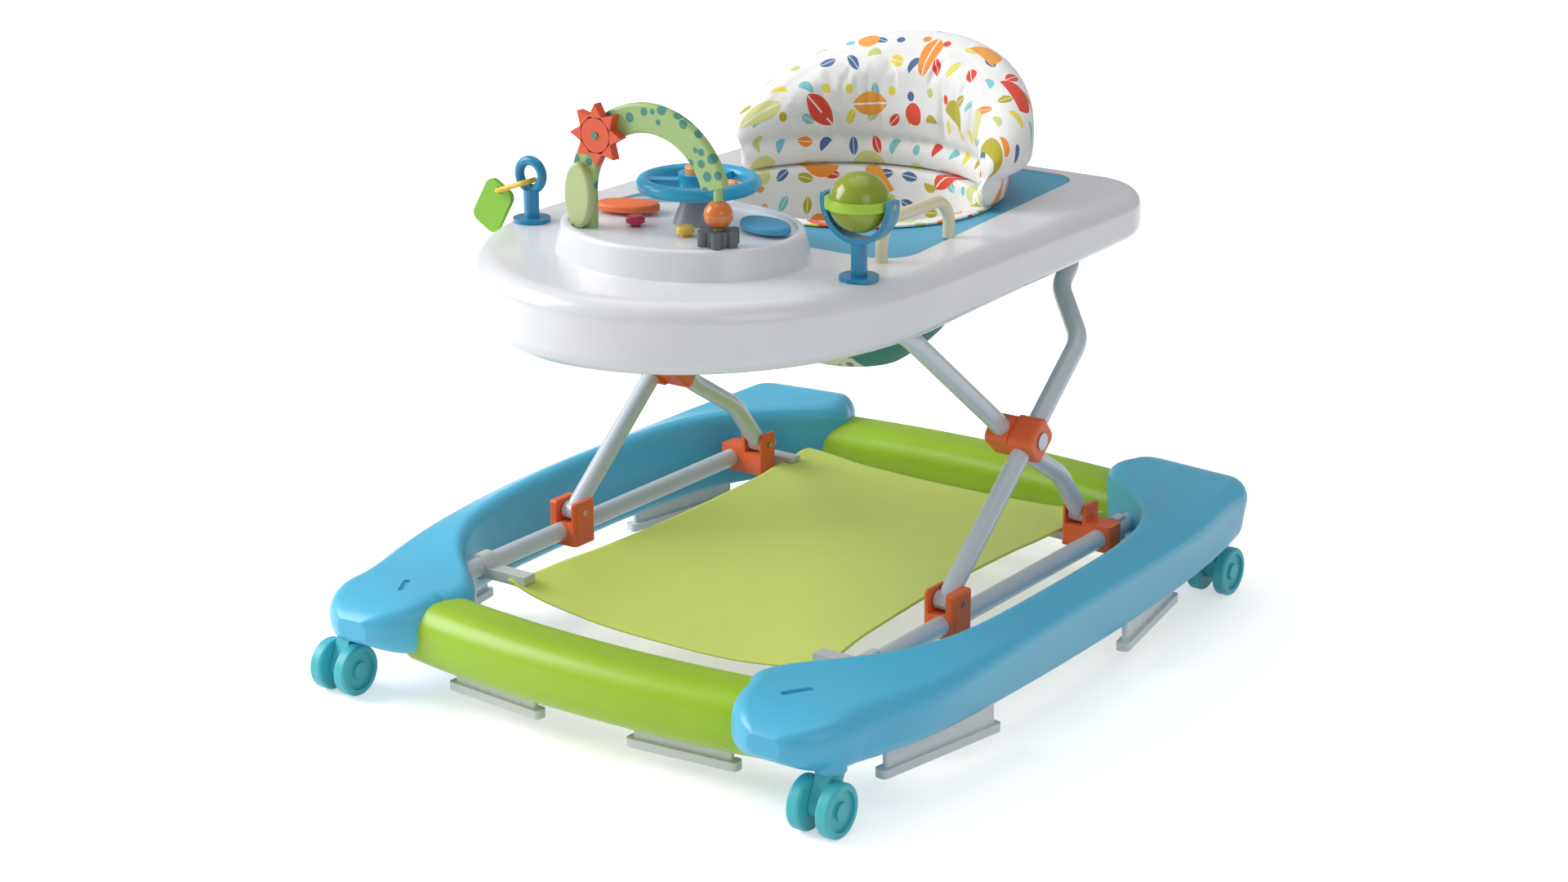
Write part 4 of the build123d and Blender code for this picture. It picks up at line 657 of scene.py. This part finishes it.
def swollen(piece, voxel, cap, sewn):
    """Fill a closed cloth form with pressure in a short cloth simulation, and keep every point within cap.
    What lies below the sewn height stays where it is stitched, and PAD_FREE above it the cover is free."""
    fresh = piece.modifiers.new("skin", "REMESH")
    fresh.mode = "VOXEL"
    fresh.voxel_size = voxel
    bpy.context.view_layer.update()
    skin = bpy.data.meshes.new_from_object(piece.evaluated_get(bpy.context.evaluated_depsgraph_get()))
    piece.modifiers.clear()
    piece.data = skin
    start = vertex_array(skin)
    fill = piece.modifiers.new("fill", "CLOTH")
    fill.settings.use_pressure = True
    fill.settings.uniform_pressure_force = PAD_PRESSURE
    fill.settings.effector_weights.gravity = 0
    fill.settings.quality = 6
    scene = bpy.context.scene
    for step in range(1, PAD_FRAMES + 1):
        scene.frame_set(step)
    filled = bpy.data.meshes.new_from_object(piece.evaluated_get(bpy.context.evaluated_depsgraph_get()))
    end = vertex_array(filled)
    piece.modifiers.clear()
    scene.frame_set(1)
    move = end - start
    reach = np.linalg.norm(move, axis=1, keepdims=True)
    free = np.clip((start[:, 2:] - sewn) / PAD_FREE, 0, 1)
    start = start + free * move * np.minimum(1, cap / np.maximum(reach, 1e-9))
    skin.vertices.foreach_set("co", start.astype(np.float32).ravel())
    skin.polygons.foreach_set("use_smooth", np.ones(len(skin.polygons), bool))
    skin.update()
    return skin


PAD_VOXEL = 4 * MM
PUCKER_DEPTH = 5.5 * MM
PUCKER_WAVE = 1.2 * MM
PUCKER_REACH = 4.5 * MM
PUCKER_COUNT = 52
GROOVE_SHARE = 0.34
GROOVE_BELOW = 9 * MM
GROOVE_REACH = 3 * MM
GROOVE_DEPTH = 2.2 * MM
DRAW_LIMIT = 0.8


class WALKER_OT_seat_back(Operator):
    """Make the padded seat back and its sewn seams"""

    bl_idname = "walker.seat_back"
    bl_label = "Seat back"

    def execute(self, context):
        size = context.scene.walker_sizes
        tint = context.scene.walker_colours
        pad = grid_object("seat_back_pad", back_surface(size), closed_v=True)
        skin = swollen(pad, PAD_VOXEL, size.pad_swell, size.back_seam)
        points = vertex_array(skin)
        reach = size.back_thickness / 2
        turn = np.arctan2(
            (points[:, 1] - size.hole_centre) / (size.hole_half_length + reach),
            points[:, 0] / (size.hole_half_width + reach),
        )
        turn = np.clip(turn, BACK_WING_TURN, pi - BACK_WING_TURN)
        edge, outward = back_edge(size, turn)
        height = points[:, 2]
        crest, thick = back_section(size, turn, height)
        off = ((points[:, :2] - edge) * outward).sum(1) - thick / 2
        # The sewn seam pulls both faces in along one height, and gathers them in small even puckers
        pucker = PUCKER_DEPTH + PUCKER_WAVE * np.sin(turn * PUCKER_COUNT)
        pull = np.exp(-(((height - size.back_seam) / PUCKER_REACH) ** 2)) * pucker
        # The seam between the front panel and the boxing runs below the crest, and shows as a narrow groove
        aside = np.hypot(off + GROOVE_SHARE * thick, height - crest + GROOVE_BELOW)
        groove = np.exp(-((aside / GROOVE_REACH) ** 2)) * GROOVE_DEPTH
        draw = np.minimum(pull + groove, DRAW_LIMIT * np.abs(off))
        points[:, :2] -= outward * (np.sign(off) * draw)[:, None]
        # The foot is pressed flat where it stands on the hem
        points[:, 2] = np.maximum(height, size.back_bottom)
        skin.vertices.foreach_set("co", points.astype(np.float32).ravel())
        # The print runs up the front face, over the crest as over a half round, and down the rear face
        half = thick / 2
        knee = crest - half
        over = np.arctan2(np.maximum(height - knee, 0), -off)
        upright = np.where(off < 0, height, 2 * knee - height + pi * half)
        rise = np.where(height > knee, knee + over * half, upright)
        run = (size.hole_half_width + size.hole_half_length) / 2 + reach
        past = points[:, 1] * outward[:, 0] - points[:, 0] * outward[:, 1]
        past -= edge[:, 1] * outward[:, 0] - edge[:, 0] * outward[:, 1]
        cloth_map(skin, np.stack([turn * run + past, rise], axis=-1))
        smooth = pad.modifiers.new("smooth", "SUBSURF")
        smooth.levels = smooth.render_levels = 1
        # Printed cotton over wadding: crisp bright motifs on white that bend with the padding
        cotton = printed_cotton("Cotton_twill_printed", tint.cloth, size.motif, size.thread)
        own_finish(pad, cotton, "tray")
        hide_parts("seat_back_cushion")
        return {"FINISHED"}


SLING_LEVELS = ((0.0, 0.42), (0.219, 0.74), (0.502, 0.92), (1.0, 0.97))


def sling_share(size, height):
    """How wide the bucket is at a height, as a share of the seat hole: a cubic through its four levels."""
    level, share = np.array(SLING_LEVELS).T
    deep = np.clip((height - size.sling_bottom) / (size.sling_top - size.sling_bottom), 0, 1)
    fit = np.polyfit(level, share, 3)
    return np.polyval(fit, deep)


LEG_HOLE = {"x": 66 * MM, "y": -18 * MM, "z": 312 * MM, "turn": radians(38), "dip": radians(28)}
LEG_HOLE_HALF = (46 * MM, 51 * MM)
# How far behind and before a hole's middle the wall is looked for along the leg's way
LEG_WAY_FROM = -130 * MM
LEG_WAY_TO = 40 * MM
LEG_WAY_HALVINGS = 40
# A hole cuts only cloth that lies so far before the seat hole's centre and so little behind its own middle
LEG_HOLE_BEFORE = 30 * MM
LEG_HOLE_BEHIND = -90 * MM
TAPE_FLATNESS = 0.6
SLING_LIP = 3 * MM
SLING_CLOTH = 1.8 * MM
SLING_FLOOR_DROP = 0.8 * MM
SLING_FLOOR_SHARE = 0.95
GATHER_DEPTH = 0.006
GATHER_COUNT = 26
GATHER_FADE = 20 * MM
# Rows of cloth in the hem, round the lip, down the wall and across the bottom
HEM_ROWS, LIP_ROWS, WALL_ROWS, FLOOR_ROWS = 8, 7, 80, 18


def leg_hole_frame(side):
    """A leg hole's middle, its two flat directions and the way the leg goes through it."""
    middle = np.array([side * LEG_HOLE["x"], LEG_HOLE["y"], LEG_HOLE["z"]])
    way = np.array(
        [
            side * sin(LEG_HOLE["turn"]) * cos(LEG_HOLE["dip"]),
            -cos(LEG_HOLE["turn"]) * cos(LEG_HOLE["dip"]),
            -sin(LEG_HOLE["dip"]),
        ]
    )
    across = np.array([cos(LEG_HOLE["turn"]), side * sin(LEG_HOLE["turn"]), 0])
    return middle, across, np.cross(way, across), way


def sling_excess(size, points):
    """Below zero inside the bucket and above zero outside it."""
    share = sling_share(size, points[..., 2])
    wide = size.hole_half_width * share
    long = size.hole_half_length * share
    return np.hypot(points[..., 0] / wide, (points[..., 1] - size.hole_centre) / long) - 1


def on_sling(size, side, flat):
    """Points of a leg hole's flat frame carried along the leg's way to the bucket's wall, by halving."""
    middle, across, up, way = leg_hole_frame(side)
    base = middle + flat[..., :1] * across + flat[..., 1:] * up
    near = np.full(flat.shape[:-1], LEG_WAY_FROM)
    far = np.full(flat.shape[:-1], LEG_WAY_TO)
    for halving in range(LEG_WAY_HALVINGS):
        half = (near + far) / 2
        out = sling_excess(size, base + half[..., None] * way) > 0
        far = np.where(out, half, far)
        near = np.where(out, near, half)
    return base + far[..., None] * way


class WALKER_OT_seat_sling(Operator):
    """Make the cloth bucket of the seat, its leg holes and their binding"""

    bl_idname = "walker.seat_sling"
    bl_label = "Seat sling"

    def execute(self, context):
        size = context.scene.walker_sizes
        tint = context.scene.walker_colours
        turn = np.linspace(0, 2 * pi, 240, endpoint=False)[:, None]
        # Down its profile the cloth lies on the deck as a hem, rolls over a lip, hangs as a wall and closes
        # in a flat bottom
        roll = np.linspace(0, pi / 2, LIP_ROWS)
        wall = np.linspace(size.sling_top - 1.2 * SLING_LIP, size.sling_bottom, WALL_ROWS)
        wall_share = sling_share(size, wall)
        floor_share = wall_share[-1] * np.linspace(SLING_FLOOR_SHARE, 0, FLOOR_ROWS)
        hem_out = np.linspace(size.sling_hem, 0, HEM_ROWS)
        out = np.concatenate([hem_out, -SLING_LIP * np.sin(roll), np.zeros(WALL_ROWS + FLOOR_ROWS)])[None]
        share = np.concatenate([np.ones(HEM_ROWS + LIP_ROWS), wall_share, floor_share])[None]
        hem_high = np.full(HEM_ROWS, size.sling_top)
        lip_high = size.sling_top - SLING_LIP * (1 - np.cos(roll))
        floor_high = np.full(FLOOR_ROWS, size.sling_bottom - SLING_FLOOR_DROP)
        high = np.concatenate([hem_high, lip_high, wall, floor_high])[None]
        # Small gathers grow below the hem and fade out towards the bottom
        fade = np.clip((size.sling_top - high) / GATHER_FADE, 0, 1) * share**4
        gather = 1 + GATHER_DEPTH * np.sin(GATHER_COUNT * turn) * fade
        wide = (size.hole_half_width * share + out) * gather
        long = (size.hole_half_length * share + out) * gather
        points = np.stack(
            np.broadcast_arrays(wide * np.cos(turn), size.hole_centre + long * np.sin(turn), high), axis=-1
        )
        inward = np.diff(wide[0], prepend=wide[0, 0])
        run = np.cumsum(np.hypot(inward, np.diff(high[0], prepend=high[0, 0])))
        inside = np.zeros(points.shape[:2], bool)
        for side in (-1, 1):
            middle, across, up, way = leg_hole_frame(side)
            flat = np.stack([(points - middle) @ across, (points - middle) @ up], axis=-1)
            reach = np.linalg.norm(flat / LEG_HOLE_HALF, axis=-1)
            before = points[..., 1] < size.hole_centre - LEG_HOLE_BEFORE
            hole = (reach < 1) & ((points - middle) @ way > LEG_HOLE_BEHIND) & before
            rim = on_sling(size, side, flat / np.maximum(reach, 1e-6)[..., None])
            points = np.where(hole[..., None], rim, points)
            inside |= hole
        lost = inside.ravel()
        uv = np.stack(np.broadcast_arrays(turn * size.hole_half_width, run[None]), axis=-1)
        # The bottom is its own cut of cloth, printed straight
        uv[:, -FLOOR_ROWS:] = points[:, -FLOOR_ROWS:, :2]
        bucket = grid_object(
            "seat_bucket", points, uv, closed_u=True, keep=lambda quads: ~lost[quads].all(axis=1)
        )
        thick = bucket.modifiers.new("thick", "SOLIDIFY")
        thick.thickness = SLING_CLOTH
        # Printed cotton with plain teal side panels: the panels leave a printed strip between the legs
        panel = (size.crotch_half, size.side_panel_top, tint.binding)
        cotton = printed_cotton("Cotton_sling_printed", tint.cloth, size.motif, size.thread, panel)
        own_finish(bucket, cotton, "tray")
        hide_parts("seat_sling")
        # Polyester binding: teal tape folded over the cut edge, with a slight sheen
        tape = woven("Polyester_binding_teal", tint.binding, size.thread)
        lap = np.linspace(0, 2 * pi, 96, endpoint=False)
        for name, side in (("left_leg_binding", -1), ("right_leg_binding", 1)):
            edge = on_sling(size, side, np.stack([np.cos(lap), np.sin(lap)], axis=-1) * LEG_HOLE_HALF)
            trim = ring_cord(name, edge, size.binding, leg_hole_frame(side)[3], TAPE_FLATNESS)
            own_finish(trim, tape, "tray")
        return {"FINISHED"}


MAT_CLOTH = 2 * MM
MAT_TROUGH_POWER = 2.6
CREASE_DEPTH = 1.2 * MM
CREASE_ACROSS = 14
CREASE_ALONG = 9


class WALKER_OT_floor_mat(Operator):
    """Make the foot mat that hangs between the side tubes"""

    bl_idname = "walker.floor_mat"
    bl_label = "Foot mat"

    def execute(self, context):
        size = context.scene.walker_sizes
        tint = context.scene.walker_colours
        across = np.linspace(-1, 1, 120)[:, None]
        along = np.linspace(0, 1, 160)[None]
        ends = (2 * along - 1) ** 2
        half = size.mat_waist + (size.mat_half_width - size.mat_waist) * ends
        sag = size.mat_sag + (size.mat_rear_sag - size.mat_sag) * along
        front = size.mat_front - size.mat_bow * (1 - across**2)
        # The cloth hangs in a shallow trough that is deepest at the front, and the clips draw short creases
        # towards the corners
        side = np.abs(across)
        crease = CREASE_DEPTH * np.sin(CREASE_ACROSS * side * ends + CREASE_ALONG * along) * side**3 * ends
        points = np.stack(
            np.broadcast_arrays(
                across * half,
                -front + (front + size.mat_rear) * along,
                size.mat_edge - sag * (1 - side**MAT_TROUGH_POWER) + crease,
            ),
            axis=-1,
        )
        uv = points[..., :2]
        mat = grid_object("foot_mat", points, uv)
        thick = mat.modifiers.new("thick", "SOLIDIFY")
        thick.thickness = MAT_CLOTH
        thick.offset = 0
        # Polyester canvas: lime cloth with a thread check painted as light and shade, and cloudy lighter and
        # darker patches
        own_finish(mat, woven("Polyester_canvas_lime", tint.mat, size.thread), "base")
        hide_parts("floor_mat")
        return {"FINISHED"}


CAMERA_PLACE = (1.5802, -2.2670, 1.0913)
CAMERA_TURN = (radians(90 - 17.909), 0, radians(35.15))
CAMERA_LENS = 71.19
CAMERA_SENSOR = 36
CAMERA_FAR = 50
FLOOR_REACH = 6
# The floor's own glow, from near the object to far off, and the distances where it starts and stops growing
GLOW = (0.5, 1.0)
GLOW_REACH = (0.8, 2.2)
AMBIENT = 0.38
# Name, place, aim, side and power of each lamp
LAMPS = (
    ("key_softbox", (-2.3, -1.3, 1.7), (0, 0, 0.2), 1.8, 78),
    ("top_softbox", (-0.2, 0.2, 2.8), (0, 0, 0.2), 2.2, 18),
    ("right_softbox", (2.4, -1.4, 1.5), (0, 0, 0.2), 1.4, 10),
)


class WALKER_OT_stage(Operator):
    """Make the floor, the studio light and the camera"""

    bl_idname = "walker.stage"
    bl_label = "Stage"

    def execute(self, context):
        scene = context.scene
        tint = scene.walker_colours
        reach = np.array([-FLOOR_REACH, FLOOR_REACH])
        plane = np.stack(np.broadcast_arrays(reach[:, None], reach[None], np.zeros((1, 1))), axis=-1)
        floor = grid_object("studio_floor", plane)
        made, tree, shader = new_material("Studio_paper_white")
        tree.links.clear()
        tree.nodes.remove(shader)
        ray = add(tree, "ShaderNodeLightPath")
        paper = add(tree, "ShaderNodeBsdfDiffuse", {"Color": opaque(tint.floor)})
        place = add(tree, "ShaderNodeTexCoord").outputs["Object"]
        away = add(tree, "ShaderNodeVectorMath", {0: place}, operation="LENGTH")
        # Near the object the paper keeps the shadow, and far from it the sweep turns to plain white
        grow = {"Value": away.outputs["Value"], 1: GLOW_REACH[0], 2: GLOW_REACH[1]}
        level = add(tree, "ShaderNodeMapRange", {**grow, "To Min": GLOW[0], "To Max": GLOW[1]})
        glow = add(tree, "ShaderNodeEmission", {"Color": opaque((1, 1, 1)), "Strength": level.outputs[0]})
        seen = add(tree, "ShaderNodeMath", {0: ray.outputs[0], 1: ray.outputs[3]}, operation="MAXIMUM")
        dark = add(tree, "ShaderNodeBsdfTransparent", {"Color": opaque((0, 0, 0))})
        lit = add(tree, "ShaderNodeMixShader", {0: seen.outputs[0], 1: dark.outputs[0], 2: glow.outputs[0]})
        both = add(tree, "ShaderNodeAddShader", {0: paper.outputs[0], 1: lit.outputs[0]})
        tree.links.new(both.outputs[0], tree.nodes["Material Output"].inputs["Surface"])
        floor.data.materials.append(made)

        world = bpy.data.worlds.new("Studio_white")
        world.use_nodes = True
        tree = world.node_tree
        tree.nodes.clear()
        ray = add(tree, "ShaderNodeLightPath")
        clear = add(tree, "ShaderNodeMath", {0: ray.outputs[0], 1: ray.outputs[6]}, operation="MAXIMUM")
        ambient = add(tree, "ShaderNodeBackground", {"Color": opaque((1, 1, 1)), "Strength": AMBIENT})
        white = add(tree, "ShaderNodeBackground", {"Color": opaque((1, 1, 1)), "Strength": 1.0})
        skies = {0: clear.outputs[0], 1: ambient.outputs[0], 2: white.outputs[0]}
        sky = add(tree, "ShaderNodeMixShader", skies)
        add(tree, "ShaderNodeOutputWorld", {"Surface": sky.outputs[0]})
        scene.world = world

        for name, place, aim, side, power in LAMPS:
            data = bpy.data.lights.new(name, "AREA")
            data.energy = power
            data.size = side
            lamp = bpy.data.objects.new(name, data)
            scene.collection.objects.link(lamp)
            lamp.location = place
            lamp.rotation_euler = (Vector(aim) - Vector(place)).to_track_quat("-Z", "Y").to_euler()

        lens = bpy.data.cameras.new("studio_camera")
        lens.lens = CAMERA_LENS
        lens.sensor_width = CAMERA_SENSOR
        lens.clip_end = CAMERA_FAR
        camera = bpy.data.objects.new("studio_camera", lens)
        scene.collection.objects.link(camera)
        camera.location = CAMERA_PLACE
        camera.rotation_euler = CAMERA_TURN
        scene.camera = camera
        scene.view_settings.view_transform = "Standard"
        return {"FINISHED"}


MAKERS = (
    WALKER_OT_base,
    WALKER_OT_legs,
    WALKER_OT_tray,
    WALKER_OT_play_tray,
    WALKER_OT_seat_back,
    WALKER_OT_seat_sling,
    WALKER_OT_floor_mat,
    WALKER_OT_stage,
)


class WALKER_PT_panel(Panel):
    """Lists the walker's makers in the sidebar"""

    bl_label = "Walker"
    bl_idname = "WALKER_PT_panel"
    bl_space_type = "VIEW_3D"
    bl_region_type = "UI"
    bl_category = "Walker"

    def draw(self, context):
        for maker in MAKERS:
            self.layout.operator(maker.bl_idname)


CLASSES = (WalkerColours, WalkerSizes, *MAKERS, WALKER_PT_panel)


def register():
    for kind in CLASSES:
        bpy.utils.register_class(kind)
    bpy.types.Scene.walker_colours = PointerProperty(type=WalkerColours)
    bpy.types.Scene.walker_sizes = PointerProperty(type=WalkerSizes)


def unregister():
    del bpy.types.Scene.walker_sizes
    del bpy.types.Scene.walker_colours
    for kind in reversed(CLASSES):
        bpy.utils.unregister_class(kind)


def main():
    """Register the classes and make every piece in order."""
    register()
    bpy.ops.walker.base()
    bpy.ops.walker.legs()
    bpy.ops.walker.tray()
    bpy.ops.walker.play_tray()
    bpy.ops.walker.seat_back()
    bpy.ops.walker.seat_sling()
    bpy.ops.walker.floor_mat()
    bpy.ops.walker.stage()
    bpy.context.view_layer.update()


if __name__ == "__main__":
    main()
